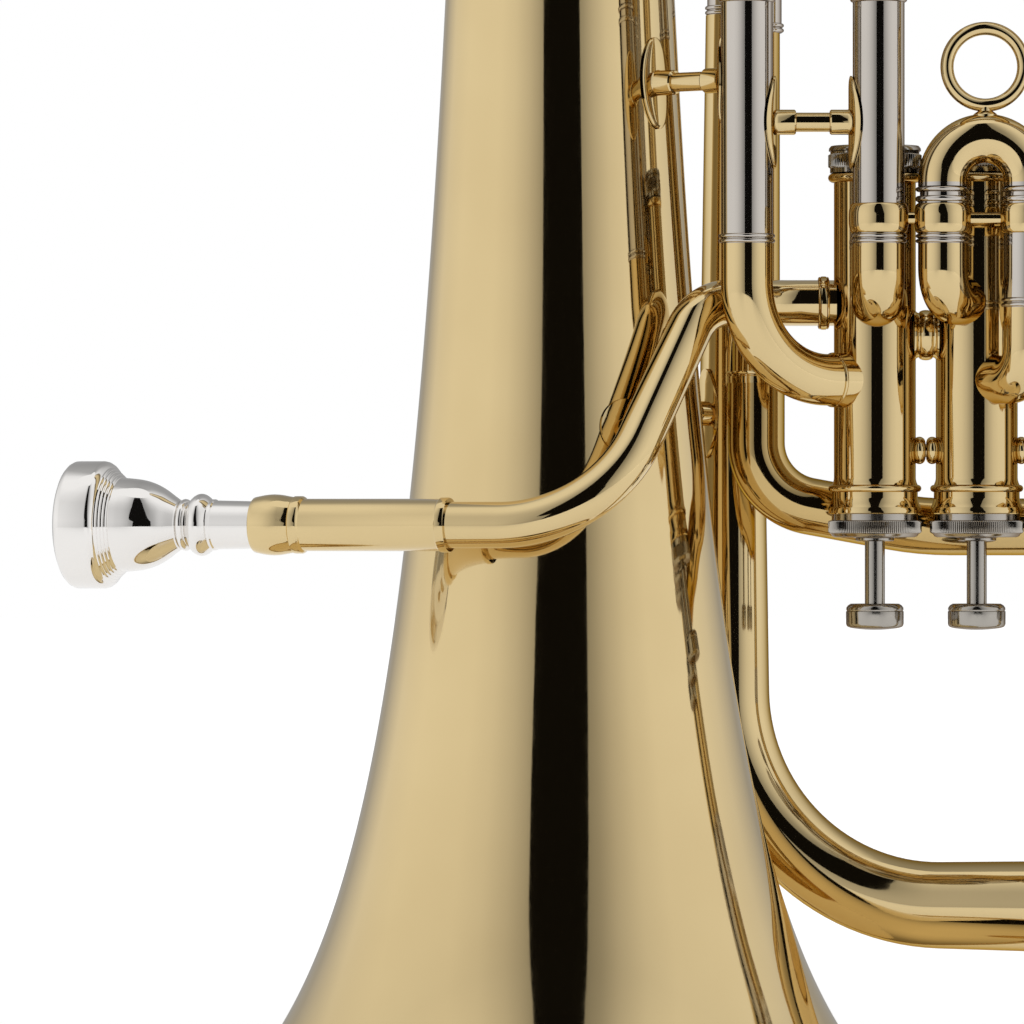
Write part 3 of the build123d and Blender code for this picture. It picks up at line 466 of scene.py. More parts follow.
# ------------------------------------------------------------------ bell, bows and branches
# Bell: a horn curve with its wall, and a round bead rolled over the rim
bell_high = box("bell")[1]
rim_r = bell_high.x
bell_top = bell_high.z
BELL_SEGMENTS = 256
BELL_POLE = 32.25
BELL_POWER = 0.55
BELL_WALL = 0.7
RIM_BEAD_R = 2.6
RIM_BEAD_Z = 2.36
SKIN_FOOT = 1.2
SKIN_STEPS = 110


def bell_radius(z):
    """Outer radius at a height above the rim."""
    return rim_r * (BELL_POLE / (z + BELL_POLE)) ** BELL_POWER


def bell_inner(z):
    """Inner radius, the wall being measured square to the curve."""
    slope = -BELL_POWER * bell_radius(z) / (z + BELL_POLE)
    return bell_radius(z) - BELL_WALL * math.sqrt(1 + slope * slope)


# Heights stand closer towards the rim, where the curve turns most
near, far = SKIN_FOOT + BELL_POLE, bell_top + BELL_POLE
stations = [near * (far / near) ** (i / SKIN_STEPS) - BELL_POLE for i in range(SKIN_STEPS + 1)]
skin = [(bell_radius(z), z) for z in stations] + [(bell_inner(z), z) for z in reversed(stations)]
flat = math.degrees(math.asin(RIM_BEAD_Z / RIM_BEAD_R))
rim = arc((rim_r - RIM_BEAD_R, RIM_BEAD_Z), RIM_BEAD_R, -flat, 180 + flat, 28)
shells = [turned(profile, (0, 0, 0), segments=BELL_SEGMENTS) for profile in (skin, rim)]
make("bell_skin", shells, ["bell"], look=bright_brass)

# Branches and bows: sizes of the outer branch, the inner branch and the bow between them
branch_low, branch_high = box("outer_branch")
branch_x = (branch_low.x + branch_high.x) / 2
branch_foot = branch_low.z
branch_top_r = (branch_high.x - branch_low.x) / 2
BRANCH_LOW_R = 16.4
inner_low, inner_high = box("inner_branch")
inner_x = (inner_low.x + inner_high.x) / 2
inner_y = (inner_low.y + inner_high.y) / 2
inner_low_r = (inner_high.x - inner_low.x) / 2
INNER_TOP_R = 8.3
BOW_WALL = 0.7
FRONT_DROP = 68.4
FRONT_BEND = 66

# Bottom bow: a half ring from the bell's throat to the outer branch
bow_bend = branch_x / 2
bow_route = [
    Vector((bow_bend - bow_bend * math.cos(a), 0, bell_top + bow_bend * math.sin(a)))
    for a in (math.pi * i / 72 for i in range(73))
]
bow_radii = [bell_radius(bell_top), (bell_radius(bell_top) + branch_top_r) / 2, branch_top_r]
make("bottom_bow_tube", [piped(bow_route, bow_radii, BOW_WALL, SEGMENTS)], ["bottom_bow"], look=bright_brass)


def cone(low_r, foot, top_r, top):
    """Profile of a tapered tube."""
    return [(low_r, foot), (top_r, top), (top_r - BOW_WALL, top), (low_r - BOW_WALL, foot)]


outer_cone = cone(BRANCH_LOW_R, branch_foot, branch_top_r, branch_high.z)
make("outer_branch_tube", [turned(outer_cone, (branch_x, 0, 0))], ["outer_branch"], look=bright_brass)

# Front bow: below the branches, across from the inner one to the outer one
front_z = branch_foot - FRONT_DROP
front_route = rounded(
    [
        (inner_x, inner_y, branch_foot),
        (inner_x, inner_y, front_z),
        (branch_x, 0, front_z),
        (branch_x, 0, branch_foot),
    ],
    [FRONT_BEND, FRONT_BEND],
)
front_radii = [inner_low_r, (inner_low_r + BRANCH_LOW_R) / 2, BRANCH_LOW_R]
make("front_bow_tube", [piped(front_route, front_radii, BOW_WALL, SEGMENTS, 6)], ["front_bow"])

inner_cone = cone(inner_low_r, inner_low.z, INNER_TOP_R, inner_high.z)
make("inner_branch_tube", [turned(inner_cone, (inner_x, inner_y, 0))], ["inner_branch"])

FERRULE_GAP = 0.35
FERRULE_WIDTH = 12
FERRULE_PROUD = 1.2


def ferrule(radius, middle, width, proud):
    """Crowned ferrule with a fine groove at each side of its crown."""
    crown = []
    for i in range(25):
        share = -1 + i / 12
        r = radius + proud * math.sqrt(max(0.0, 1 - share * share)) ** 0.7
        if i in (5, 19):
            r -= 0.35
        crown.append((r, middle + share * width / 2))
    return crown + [(radius - 0.3, middle + width / 2), (radius - 0.3, middle - width / 2)]


ferrule_places = [
    (0, 0, bell_top, bell_radius(bell_top)),
    (branch_x, 0, bell_top, branch_top_r),
    (branch_x, 0, branch_foot, BRANCH_LOW_R),
]
shells = [
    turned(ferrule(r + FERRULE_GAP, z, FERRULE_WIDTH, FERRULE_PROUD), (x, y, 0))
    for x, y, z, r in ferrule_places
]
make("branch_ferrule_rings", shells, ["branch_ferrules"])

# ------------------------------------------------------------------ valves
# The horn stands on its bell, so the top caps and buttons are at the valves' lower ends
BOTTOM_TEETH = 104
TOP_TEETH = 135
SPRING_WIRE = 0.5
SPRING_TURNS = 5
valves = []
for number in (1, 2, 3):
    # Casing: foot flange, two coves with a bead between them, barrel and top collar
    low, high = box(f"valve_casing_{number}")
    x, y = (low.x + high.x) / 2, (low.y + high.y) / 2
    valves.append((x, y))
    foot, top = low.z, high.z
    profile = [(13.9, foot), (14.2, foot + 0.3), (14.2, foot + 1.8)]
    profile += [(13.1 + 1.1 * (1 - k / 8) ** 2, foot + 1.8 + 3.6 * k / 8) for k in range(1, 9)]
    profile += [(13.1, foot + 6.6)] + bead(13.1, foot + 7.8, 2.2, 1.1)
    profile += [(CASING_R + 0.6 * (1 - k / 6) ** 2, foot + 8.9 + 2.2 * k / 6) for k in range(7)]
    profile += [(CASING_R, top - 3.0)] + bead(CASING_R, top - 1.5, 3.0, 1.8)
    profile += [(CASING_BORE, top), (CASING_BORE, foot)]
    make(f"casing_{number}", [turned(profile, (x, y, 0))], [f"valve_casing_{number}"])

    # Bottom cap: a knurled flange, a groove and a bead, and a hole in its face
    low, high = box(f"bottom_cap_{number}")
    b, t = low.z, high.z
    profile = [(CASING_BORE, b), (13.7, b), (13.7, b + 1.4), (14.3, b + 1.9), (14.3, b + 5.4)]
    profile += [(13.6, b + 5.8), (13.6, b + 6.4), (14.1, b + 6.7), (14.0, b + 7.5), (13.4, t)]
    profile += [(11.5, t), (10.9, t - 0.5), (4.6, t - 0.5), (4.2, t)]
    profile += [(2.5, t), (2.5, t - 1.6), (CASING_BORE, t - 1.6)]
    shell = turned(profile, (x, y, 0), segments=4 * BOTTOM_TEETH, ripple=(BOTTOM_TEETH, 0.6, 3, 4))
    make(f"bottom_cap_ring_{number}", [shell], [f"bottom_cap_{number}"], look=worn_nickel)

    # Top cap: a knurled band and a stepped face with the stem's hole
    low, high = box(f"top_cap_{number}")
    b, t = low.z, high.z
    profile = [(3.12, t), (13.2, t), (13.2, t - 1.9), (14.0, t - 2.1), (14.3, t - 2.4)]
    profile += [(14.3, b + 2.9), (14.0, b + 2.5), (13.4, b + 2.2), (12.9, b + 1.5)]
    profile += [(12.2, b + 1.2), (6.6, b + 1.2)]
    profile += [(5.9, b + 0.9), (5.9, b + 0.3), (5.5, b), (3.12, b)]
    shell = turned(profile, (x, y, 0), segments=4 * TOP_TEETH, ripple=(TOP_TEETH, 0.5, 4, 5))
    make(f"top_cap_knurl_{number}", [shell], [f"top_cap_{number}"], look=knurled_nickel)

    low, high = box(f"valve_stem_{number}")
    b, t = low.z, high.z
    profile = [(0, b), (3.06, b), (3.06, t), (0, t)]
    shell = turned(profile, (x, y, 0), closed=False, segments=48)
    make(f"stem_rod_{number}", [shell], [f"valve_stem_{number}"], look=worn_nickel)

    # Spring: a coil of wire that fills the spring's box, on a mesh of its own
    low, high = box(f"valve_spring_{number}")
    coil_r = (high.x - low.x) / 2 - SPRING_WIRE
    shell = coil((x, y), coil_r, SPRING_WIRE, low.z + SPRING_WIRE, high.z - SPRING_WIRE, SPRING_TURNS)
    spring = make(f"spring_coil_{number}", [shell], [f"valve_spring_{number}"])
    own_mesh(spring)

    # Finger button: a slightly domed pad with a groove round its edge
    low, high = box(f"finger_button_{number}")
    b, t = low.z, high.z
    dome = [(7.4 * i / 10, b + 0.62 * (i / 10) ** 2) for i in range(11)]
    profile = dome + [(8.3, b + 0.95), (8.65, b + 1.35), (8.8, b + 1.9), (8.8, b + 5.6), (8.6, b + 5.8)]
    profile += [(8.6, b + 6.0), (8.75, b + 6.2), (8.7, t - 1.2), (8.2, t - 0.5), (7.4, t), (0, t)]
    shell = turned(profile, (x, y, 0), closed=False)
    make(f"button_{number}", [shell], [f"finger_button_{number}"], edge=40, look=worn_nickel)

# Braces between the casings: two round beads on a rod
valve_y = valves[0][1]
low, high = box("casing_braces")
brace_z = (low.z + high.z) / 2
shells = []
for i in range(2):
    a, b = valves[i][0] + CASING_R - 0.2, valves[i + 1][0] - CASING_R + 0.2
    mid = (a + b) / 2
    profile = [(2.6, a), (2.0, a + 0.5)]
    for side in (-1, 1):
        profile += [
            (2.0 + 2.2 * math.sin(t) ** 0.75, mid + side * 1.95 - 1.85 * math.cos(t))
            for t in (math.pi * k / 12 for k in range(13))
        ]
    profile += [(2.0, b - 0.5), (2.6, b), (1.0, b), (1.0, a)]
    shells.append(turned(profile, (0, valve_y, brace_z), (1, 0, 0), segments=64))
make("casing_brace_beads", shells, ["casing_braces"])

# Bridges: short tubes that carry the air from one casing to the next
low, high = box("valve_bridge_1")
bridge_z = (low.z + high.z) / 2
for i in range(2):
    a, b = valves[i][0] + CASING_R - 0.7, valves[i + 1][0] - CASING_R + 0.7
    mid = (a + b) / 2
    profile = [(7.7, a), (7.6, a + 0.5), (7.0, a + 1.0), (6.8, a + 1.5)] + bead(6.8, mid, 4.2, 0.9)
    profile += [(6.8, b - 1.5), (7.0, b - 1.0), (7.6, b - 0.5), (7.7, b), (6.3, b), (6.3, a)]
    shell = turned(profile, (0, valve_y, bridge_z), (1, 0, 0), segments=TUBE_SEGMENTS)
    make(f"bridge_tube_{i + 1}", [shell], [f"valve_bridge_{i + 1}"])

# ------------------------------------------------------------------ valve slides and main slide
BEAD = 0.8
LEG_INSET = 0.55
sleeve_foot = box("first_slide_sleeves")[0].z
second_foot_right = box("second_slide_sleeves")[0].z
slide_radii = {"first": SLIDE_R, "second": SECOND_SLIDE_R, "third": SLIDE_R, "main": SLIDE_R}
legs = {}
for name, r in slide_radii.items():
    # Sleeves: a double bead at the foot and one at the mouth
    low, high = box(f"{name}_slide_sleeves")
    edge = r + BEAD
    if name == "main":
        places = [(high.x - edge, low.y + edge), (low.x + edge, high.y - edge)]
        feet = (low.z, inner_high.z)
    else:
        y = (low.y + high.y) / 2
        places = [(low.x + edge, y), (high.x - edge, y)]
        feet = (sleeve_foot, low.z)
    legs[name] = places
    mouth = high.z
    shells = []
    for (x, y), foot in zip(places, feet):
        profile = [(r, foot)] + bead(r, foot + 0.8, 1.3, 0.7) + [(r, foot + 1.55)]
        profile += bead(r, foot + 2.3, 1.3, 0.7) + [(r, foot + 3.2)]
        profile += [(r, mouth - 2.0)] + bead(r, mouth - 0.9, 1.8, BEAD)
        profile += [(r - TUBE_WALL, mouth), (r - TUBE_WALL, foot)]
        shells.append(turned(profile, (x, y, 0), segments=TUBE_SEGMENTS))
    make(f"{name}_sleeves", shells, [f"{name}_slide_sleeves"])

    # Legs: inside the sleeves, with a bead where the crook sits on them
    low, high = box(f"{name}_slide_legs")
    top = high.z
    inner = r - LEG_INSET
    shells = []
    feet = (low.z, inner_high.z if name == "main" else low.z)
    for (x, y), foot in zip(places, feet):
        profile = [(inner, foot), (inner, top - 3.0)] + bead(inner, top - 2.1, 1.7, 1.35, 8)
        profile += [(inner + LEG_INSET, top - 1.2), (inner + LEG_INSET, top)]
        profile += [(inner - TUBE_WALL, top), (inner - TUBE_WALL, foot)]
        shells.append(turned(profile, (x, y, 0), segments=TUBE_SEGMENTS))
    make(f"{name}_legs", shells, [f"{name}_slide_legs"])

    # Crook: a half ring of tube on the two legs
    low, high = box(f"{name}_slide_crook")
    a, b = (Vector((*place, 0)) for place in places)
    half = (b - a).length / 2
    arc_z = high.z - r - half
    side = (b - a).normalized()
    middle = (a + b) / 2
    route = [a + Vector((0, 0, low.z))]
    for i in range(49):
        angle = math.pi * i / 48
        rise = Vector((0, 0, arc_z + half * math.sin(angle)))
        route.append(middle - side * half * math.cos(angle) + rise)
    route.append(b + Vector((0, 0, low.z)))
    make(f"{name}_crook", [piped(route, [r], TUBE_WALL)], [f"{name}_slide_crook"])

slide_y = legs["first"][0][1]
FIRST_BEND = 29.0
THIRD_BEND = 27.0


def seated(shell, axis, toward):
    """The same pipe, its far end shaped to the round casing that it runs into."""
    rings = shell[0]
    side = toward.cross(Vector((0, 0, 1)))
    for ring in rings[len(rings) // 2 - 1:len(rings) // 2 + 1]:
        for point in ring:
            off = (point - axis).dot(side)
            point += toward * (PORT_REACH - math.sqrt(PORT_REACH ** 2 - off ** 2))
    return shell


def elbow(slide, leg, foot, port_z, valve, bend=KNUCKLE_BEND):
    """Tube down from a slide's sleeve and round in one plane to a casing's port."""
    (px, py), (x, y) = legs[slide][leg], valves[valve]
    route = rounded([(px, py, foot), (px, py, port_z), (x, y, port_z)], [bend])
    toward = (route[-1] - route[-2]).normalized()
    route[-1] = route[-1] - toward * PORT_REACH
    shell = piped(route, [slide_radii[slide]], TUBE_WALL)
    return seated(shell, Vector((x, y, port_z)), toward)


def swept(slide, leg, foot, port_z, valve, bend):
    """Tube down from a slide's sleeve, along the casings' front and straight back to a port."""
    (px, py), (x, y) = legs[slide][leg], valves[valve]
    corners = [(px, py, foot), (px, py, port_z), (x, py, port_z), (x, y - PORT_REACH, port_z)]
    route = rounded(corners, [bend, KNUCKLE_BEND])
    shell = piped(route, [slide_radii[slide]], TUBE_WALL)
    return seated(shell, Vector((x, y, port_z)), Vector((0, 1, 0)))


first = [
    elbow("first", 0, sleeve_foot, LOWER_PORT_Z, 0, FIRST_BEND),
    elbow("first", 1, sleeve_foot, UPPER_PORT_Z, 0),
]
second = [
    elbow("second", 0, sleeve_foot, UPPER_PORT_Z, 1),
    elbow("second", 1, second_foot_right, LOWER_PORT_Z, 1),
]
third = [
    elbow("third", 0, sleeve_foot, UPPER_PORT_Z, 2),
    swept("third", 1, sleeve_foot, LOWER_PORT_Z, 2, THIRD_BEND),
]
make("first_tubes", first, ["first_slide_tubes"])
make("second_tubes", second, ["second_slide_tubes"])
make("third_tubes", third, ["third_slide_tubes"])

# Saddles: barrel bands on four sleeves, tied to each other and to the casings
low, high = box("casing_saddles")
saddle_z, saddle_height = (low.z + high.z) / 2, high.z - low.z
SADDLE_GAP = 0.05
SADDLE_PROUD = 1.15
POST_R = 2.6
TIE_R = 1.85
saddle_legs = [
    (legs["first"][1], SLIDE_R, 0),
    (legs["second"][0], SECOND_SLIDE_R, 1),
    (legs["second"][1], SECOND_SLIDE_R, 1),
    (legs["third"][0], SLIDE_R, 2),
]
shells = []
for place, r, valve in saddle_legs:
    inner = r + SADDLE_GAP
    profile = []
    for k in range(-14, 15):
        share = math.sin(math.pi * k / 28)
        bulge = SADDLE_PROUD * (1 - abs(share) ** 2.6) ** 0.5
        profile.append((inner + bulge, saddle_z + share * saddle_height / 2))
    shells.append(turned(profile, (*place, 0), segments=TUBE_SEGMENTS))
    shells.append(rod((*place, saddle_z), (*valves[valve], saddle_z), POST_R, inner + 0.6, CASING_R))
for (a, r_a, _), (b, r_b, _) in zip(saddle_legs, saddle_legs[1:]):
    shells.append(rod((*a, saddle_z), (*b, saddle_z), TIE_R, r_a + 0.8, r_b + 0.8))
make("saddle_bands", shells, ["casing_saddles"])


def slide_radius(z):
    """The first and third slides' sleeves are as wide at every height."""
    return SLIDE_R


# Braces with a thin oval foot at each end
low, high = box("slide_braces")
foot_z, foot_height = (low.z + high.z) / 2, high.z - low.z
shells = []
for name in ("first", "third"):
    a, b = legs[name]
    shells += standing_brace(a, slide_radius, b, slide_radius, foot_z, foot_height)
make("slide_brace_rods", shells, ["slide_braces"])
low, high = box("bell_brace")
foot_z, foot_height = (low.z + high.z) / 2, high.z - low.z
shells = standing_brace((0, 0), bell_radius, legs["first"][0], slide_radius, foot_z, foot_height)
make("bell_brace_rod", shells, ["bell_brace"])

# Pull ring: a closed wire ring on a flared foot that follows the crook
low, high = box("second_slide_ring")
crook_top = box("second_slide_crook")[1].z
RING_WIRE = 2.0
ring_outer = (high.x - low.x) / 2
ring_mid = Vector(((low.x + high.x) / 2, slide_y, high.z - ring_outer))
loop = []
for i in range(96):
    angle = 2 * math.pi * i / 96
    out = Vector((math.cos(angle), 0, math.sin(angle)))
    centre = ring_mid + out * (ring_outer - RING_WIRE)
    loop.append([
        centre + out * RING_WIRE * math.cos(t) + Vector((0, RING_WIRE * math.sin(t), 0))
        for t in (2 * math.pi * j / 32 for j in range(32))
    ])
profile = [(0, -1.2), (3.6, -1.2), (3.6, -0.2), (3.0, 0.3), (2.2, 0.8), (1.9, 1.5), (1.9, 2.4), (0, 2.4)]
foot = turned(profile, (ring_mid.x, slide_y, crook_top), closed=False, segments=48)
make("pull_ring", [(loop, True), foot], ["second_slide_ring"])

# ------------------------------------------------------------------ outlet bow, feed tube, leadpipe
low, high = box("feed_tube")
feed_x, feed_y = (low.x + high.x) / 2, (low.y + high.y) / 2
feed_foot, feed_top = low.z, high.z
low, high = box("outlet_bow")
OUTLET_WALL = 0.7
OUTLET_BENDS = [18, 18, 100, 20]
OUTLET_RISE = 9.4
outlet_z = low.z + OUTLET_R
turn_x = high.x - OUTLET_R
route = rounded(
    [
        (valves[2][0] + PORT_REACH, valve_y, bridge_z),
        (turn_x, valve_y, bridge_z),
        (turn_x, feed_y, outlet_z),
        ((valves[0][0] + valves[1][0]) / 2, feed_y, outlet_z),
        (feed_x, feed_y, outlet_z + OUTLET_RISE),
        (feed_x, feed_y, feed_foot),
    ],
    OUTLET_BENDS,
)
shell = piped(route, [OUTLET_R], OUTLET_WALL)
# Painted shade: the outlet bow takes the darker brass that stands in for the shade between the tubes
make("outlet_tube", [shell], ["outlet_bow"], look=painted_shade_brass)
inner = FEED_R - TUBE_WALL
profile = [(FEED_R, feed_foot), (FEED_R, feed_top), (inner, feed_top), (inner, feed_foot)]
shell = turned(profile, (feed_x, feed_y, 0), segments=TUBE_SEGMENTS)
# Painted shade: the feed pipe takes the same darker brass
make("feed_pipe", [shell], ["feed_tube"], look=painted_shade_brass)

# Ferrules on the small tubing: a crowned band at the inlet and at the outlet bow's far end,
# a low lip on its near end, and a fine ring with a socket on the first slide's tube
BAND = 3.4
BAND_PROUD = 0.8
INLET_STAND = 3.2
RING_STAND = 15.2
SOCKET_SKIN = 0.28
low, high = box("tube_ferrules")
inlet_band = ferrule(LEAD_R + FERRULE_GAP, 0, BAND, BAND_PROUD)
outlet_band = ferrule(OUTLET_R + FERRULE_GAP, 0, BAND, BAND_PROUD)
inlet = (valves[0][0] - CASING_R - INLET_STAND, valve_y, INLET_Z)
port = Vector((*valves[0], LOWER_PORT_Z))
into = Vector((port.x - legs["first"][0][0], port.y - legs["first"][0][1], 0)).normalized()
lip = [(OUTLET_R + proud, along) for proud, along in (
    (-0.1, -1.6), (0.3, -1.6), (0.35, 0.5), (0.1, 0.7), (0.1, 1.0), (0.6, 1.25), (0.7, 1.6), (0.45, 2.0),
)]
lip.append((FEED_R, 2.0))
fine = [(7.8, -0.5), (8.2, -0.45), (8.35, -0.2), (8.35, 0.2), (8.2, 0.45), (7.8, 0.5)]
socket = piped([port - into * RING_STAND, port - into * PORT_REACH], [SLIDE_R + 0.3], SOCKET_SKIN)
shells = [
    turned(inlet_band, inlet, (1, 0, 0)),
    turned(outlet_band, (high.x - BAND / 2, valve_y, bridge_z), (1, 0, 0)),
    turned(lip, (feed_x, feed_y, feed_foot - 2.0)),
    turned(fine, port - into * RING_STAND, into),
    seated(socket, port, into),
]
make("tube_rings", shells, ["tube_ferrules"])

# Leadpipe: from the receiver along the bell, up over its side and in to the first casing
LEAD_WALL = 0.6
LEAD_SOCKET = 6
LEAD_FIRST_RUN = 47.2
LEAD_CREST = (42.8, -31.0)
LEAD_INTO_X = 68.0
LEAD_BENDS = [40, 18, 25]
LEAD_TURN = math.radians(17)
RECEIVER_R = 8.3
lead_dir = Vector((-math.cos(LEAD_TURN), math.sin(LEAD_TURN), 0))
low, high = box("receiver")
corner = Vector((high.x, low.y, (low.z + high.z) / 2))
lead_start = corner + Vector((-math.sin(LEAD_TURN), math.cos(LEAD_TURN), 0)) * RECEIVER_R
route = rounded(
    [
        lead_start + lead_dir * LEAD_SOCKET,
        lead_start - lead_dir * LEAD_FIRST_RUN,
        (*LEAD_CREST, INLET_Z),
        (LEAD_INTO_X, valve_y, INLET_Z),
        (valves[0][0] - PORT_REACH, valve_y, INLET_Z),
    ],
    LEAD_BENDS,
)
make("lead_tube", [piped(route, [LEAD_R], LEAD_WALL)], ["leadpipe"], look=bright_brass)

# Receiver: a ferrule on the leadpipe, a plain tube, and a crowned mouth for the shank
RECEIVER_LENGTH = 62.0
end = RECEIVER_LENGTH
profile = [(7.05, 0.0), (8.1, 0.0), (8.3, 0.3), (8.3, 2.6), (8.0, 3.0), (7.9, 3.2)]
profile += [(7.9, end - 16.0), (8.5, end - 15.6), (8.7, end - 15.2), (8.7, end - 13.0)]
profile += [(8.3, end - 12.6), (8.5, end - 12.0)]
for share in (0.12, 0.25, 0.37, 0.5, 0.62, 0.75, 0.87):
    profile.append((8.3 + 0.95 * math.sin(math.pi * share), end - 12.5 + 12.5 * share))
profile += [(8.4, end - 0.3), (8.1, end), (7.2, end), (6.55, end - 22), (6.0, end - 22)]
profile += [(6.0, LEAD_SOCKET), (7.05, LEAD_SOCKET)]
make("receiver_tube", [turned(profile, lead_start, lead_dir)], ["receiver"], look=bright_brass)

# ------------------------------------------------------------------ mouthpiece
def smooth_curve(points, steps=6):
    """Profile points (radius, distance) on a soft curve through the given ones."""
    out = [points[0]]
    for i in range(1, len(points)):
        (r0, z0), (r1, z1) = points[i - 1], points[i]
        before = points[max(i - 2, 0)]
        after = points[min(i + 1, len(points) - 1)]
        m0 = (r1 - before[0]) / (z1 - before[1])
        m1 = (after[0] - r0) / (after[1] - z0)
        h = z1 - z0
        for k in range(1, steps + 1):
            t = k / steps
            r = (2 * t**3 - 3 * t**2 + 1) * r0 + (t**3 - 2 * t**2 + t) * h * m0
            r += (-2 * t**3 + 3 * t**2) * r1 + (t**3 - t**2) * h * m1
            out.append((r, z0 + h * t))
    return out


# Distances run from the rim's face to the shank's end, which is inside the receiver
RIM_STAND = 59.5
CUP_R = 12.9
CUP_DEPTH = 26.0
rim_at = lead_start + lead_dir * (RECEIVER_LENGTH + RIM_STAND)
profile = [(CUP_R, 2.4), (13.3, 1.1), (14.2, 0.3), (15.4, 0.0), (16.9, 0.15), (18.1, 0.75), (18.9, 1.5)]
profile += [(19.35, 2.4), (19.4, 3.0), (19.4, 11.0), (19.2, 11.9), (18.7, 12.7), (18.0, 13.3)]
# Four turned steps behind the rim
for step in range(4):
    r, z = 17.4 - 0.75 * step, 13.5 + 0.85 * step
    profile += [(r, z), (r - 0.1, z + 0.35), (r - 0.45, z + 0.6), (r - 0.55, z + 0.8)]
# The cup's outside, two beads and the shank, then back up the inside
profile += smooth_curve([
    (14.3, 17.0), (14.15, 19.5), (13.75, 23.0), (13.15, 25.6),
    (12.15, 28.2), (10.7, 30.8), (9.0, 33.2), (7.5, 35.4),
])
profile += [(7.5, 35.9)] + bead(6.9, 37.2, 2.2, 0.95) + [(6.9, 38.6), (7.4, 39.2)]
profile += [(7.3 + 2.15 * math.sin(math.pi * k / 12) ** 0.75, 39.3 + 6.2 * k / 12) for k in range(1, 12)]
profile += [(7.35, 45.7), (7.75, 46.0), (7.75, 46.8), (7.4, 47.2)]
profile += [(7.15, RIM_STAND), (6.5, 81.5), (4.9, 81.5), (3.3, CUP_DEPTH)]
for z in (24.5, 22, 19, 16, 13, 10, 7, 4.5):
    profile.append((CUP_R * math.sqrt(1 - (z / CUP_DEPTH) ** 2), z))
make("mouthpiece_turned", [turned(profile, rim_at, -lead_dir, segments=128)], ["mouthpiece"], edge=28)

# ------------------------------------------------------------------ CAD nodes that stay
for node, thing in frame["nodes"].items():
    mesh = thing.data
    mesh.materials.clear()
    mesh.materials.append(looks[slot_of[node]])

# ------------------------------------------------------------------ studio
def staged(name, verts, faces, material):
    """Mesh that stands round the horn and isn't part of it."""
    mesh = bpy.data.meshes.new(name)
    mesh.from_pydata(verts, [], faces)
    mesh.materials.append(material)
    thing = bpy.data.objects.new(name, mesh)
    bpy.context.scene.collection.objects.link(thing)
    return thing


def turn_and_height(n):
    """Share of a full turn from behind the horn by its left, the camera at 0.5, and the height."""
    spot = n.add("ShaderNodeSeparateXYZ")
    n.link(n.add("ShaderNodeTexCoord").outputs["Object"], spot.inputs["Vector"])
    ahead = n.maths("MULTIPLY", spot.outputs["Y"], -1.0)
    turn = n.maths("ARCTAN2", spot.outputs["X"], ahead)
    return n.spread(turn, 0.0, 1.0, -math.pi, math.pi), spot.outputs["Z"]


def grey_ramp(n, value, stops):
    """Greys between stops of a place and a level."""
    return n.ramp(value, [(place, (level, level, level, 1)) for place, level in stops])


def grey_round(n, share, stops):
    """Greys round the horn, from stops of an angle in degrees and a level."""
    return grey_ramp(n, share, [((angle + 180) / 360, level) for angle, level in stops])


# Paper floor. The camera sees it brighten away from the horn; reflections see one grey by the
# horn that turns into the tent's greys further out
PAPER = (0.82, 0.82, 0.82, 1)
FLOOR_HALF = 12
SEEN_LEVELS, SEEN_REACH = (0.40, 0.74), (0.4, 1.5)
GLOSS_LEVEL, GLOSS_REACH = 0.45, (0.5, 2.5)
FLOOR_GREYS = [
    (-180, 0.10), (-150, 0.15), (-122, 0.40), (-100, 0.48), (-60, 0.48), (-44, 0.40), (-30, 0.24),
    (-20, 0.34), (-13, 0.48), (13, 0.48), (22, 0.30), (34, 0.28), (48, 0.42), (62, 0.48), (110, 0.46),
    (150, 0.15), (180, 0.10),
]
floor_look, n, out = blank_look("floor_paper")
paper = n.add("ShaderNodeBsdfDiffuse")
paper.inputs["Color"].default_value = PAPER
glow = n.add("ShaderNodeEmission")
ray = n.add("ShaderNodeLightPath")
seen = n.maths("MAXIMUM", ray.outputs["Is Camera Ray"], ray.outputs["Is Glossy Ray"])
away = n.add("ShaderNodeVectorMath", operation="LENGTH")
n.link(n.add("ShaderNodeTexCoord").outputs["Object"], away.inputs[0])
for_camera = n.spread(away.outputs["Value"], *SEEN_LEVELS, *SEEN_REACH)
for_gloss = n.add("ShaderNodeMix", data_type="FLOAT")
n.link(n.spread(away.outputs["Value"], 0.0, 1.0, *GLOSS_REACH), for_gloss.inputs["Factor"])
for_gloss.inputs["A"].default_value = GLOSS_LEVEL
n.link(grey_round(n, turn_and_height(n)[0], FLOOR_GREYS), for_gloss.inputs["B"])
pick = n.add("ShaderNodeMix", data_type="FLOAT")
n.link(ray.outputs["Is Camera Ray"], pick.inputs["Factor"])
n.link(for_gloss.outputs["Result"], pick.inputs["A"])
n.link(for_camera, pick.inputs["B"])
n.link(n.maths("MULTIPLY", pick.outputs["Result"], seen), glow.inputs["Strength"])
total = n.add("ShaderNodeAddShader")
n.link(paper.outputs["BSDF"], total.inputs[0])
n.link(glow.outputs["Emission"], total.inputs[1])
n.link(total.outputs["Shader"], out.inputs["Surface"])
half = FLOOR_HALF
corners = [(-half, -half, 0), (half, -half, 0), (half, half, 0), (-half, half, 0)]
staged("floor", corners, [(0, 1, 2, 3)], floor_look)

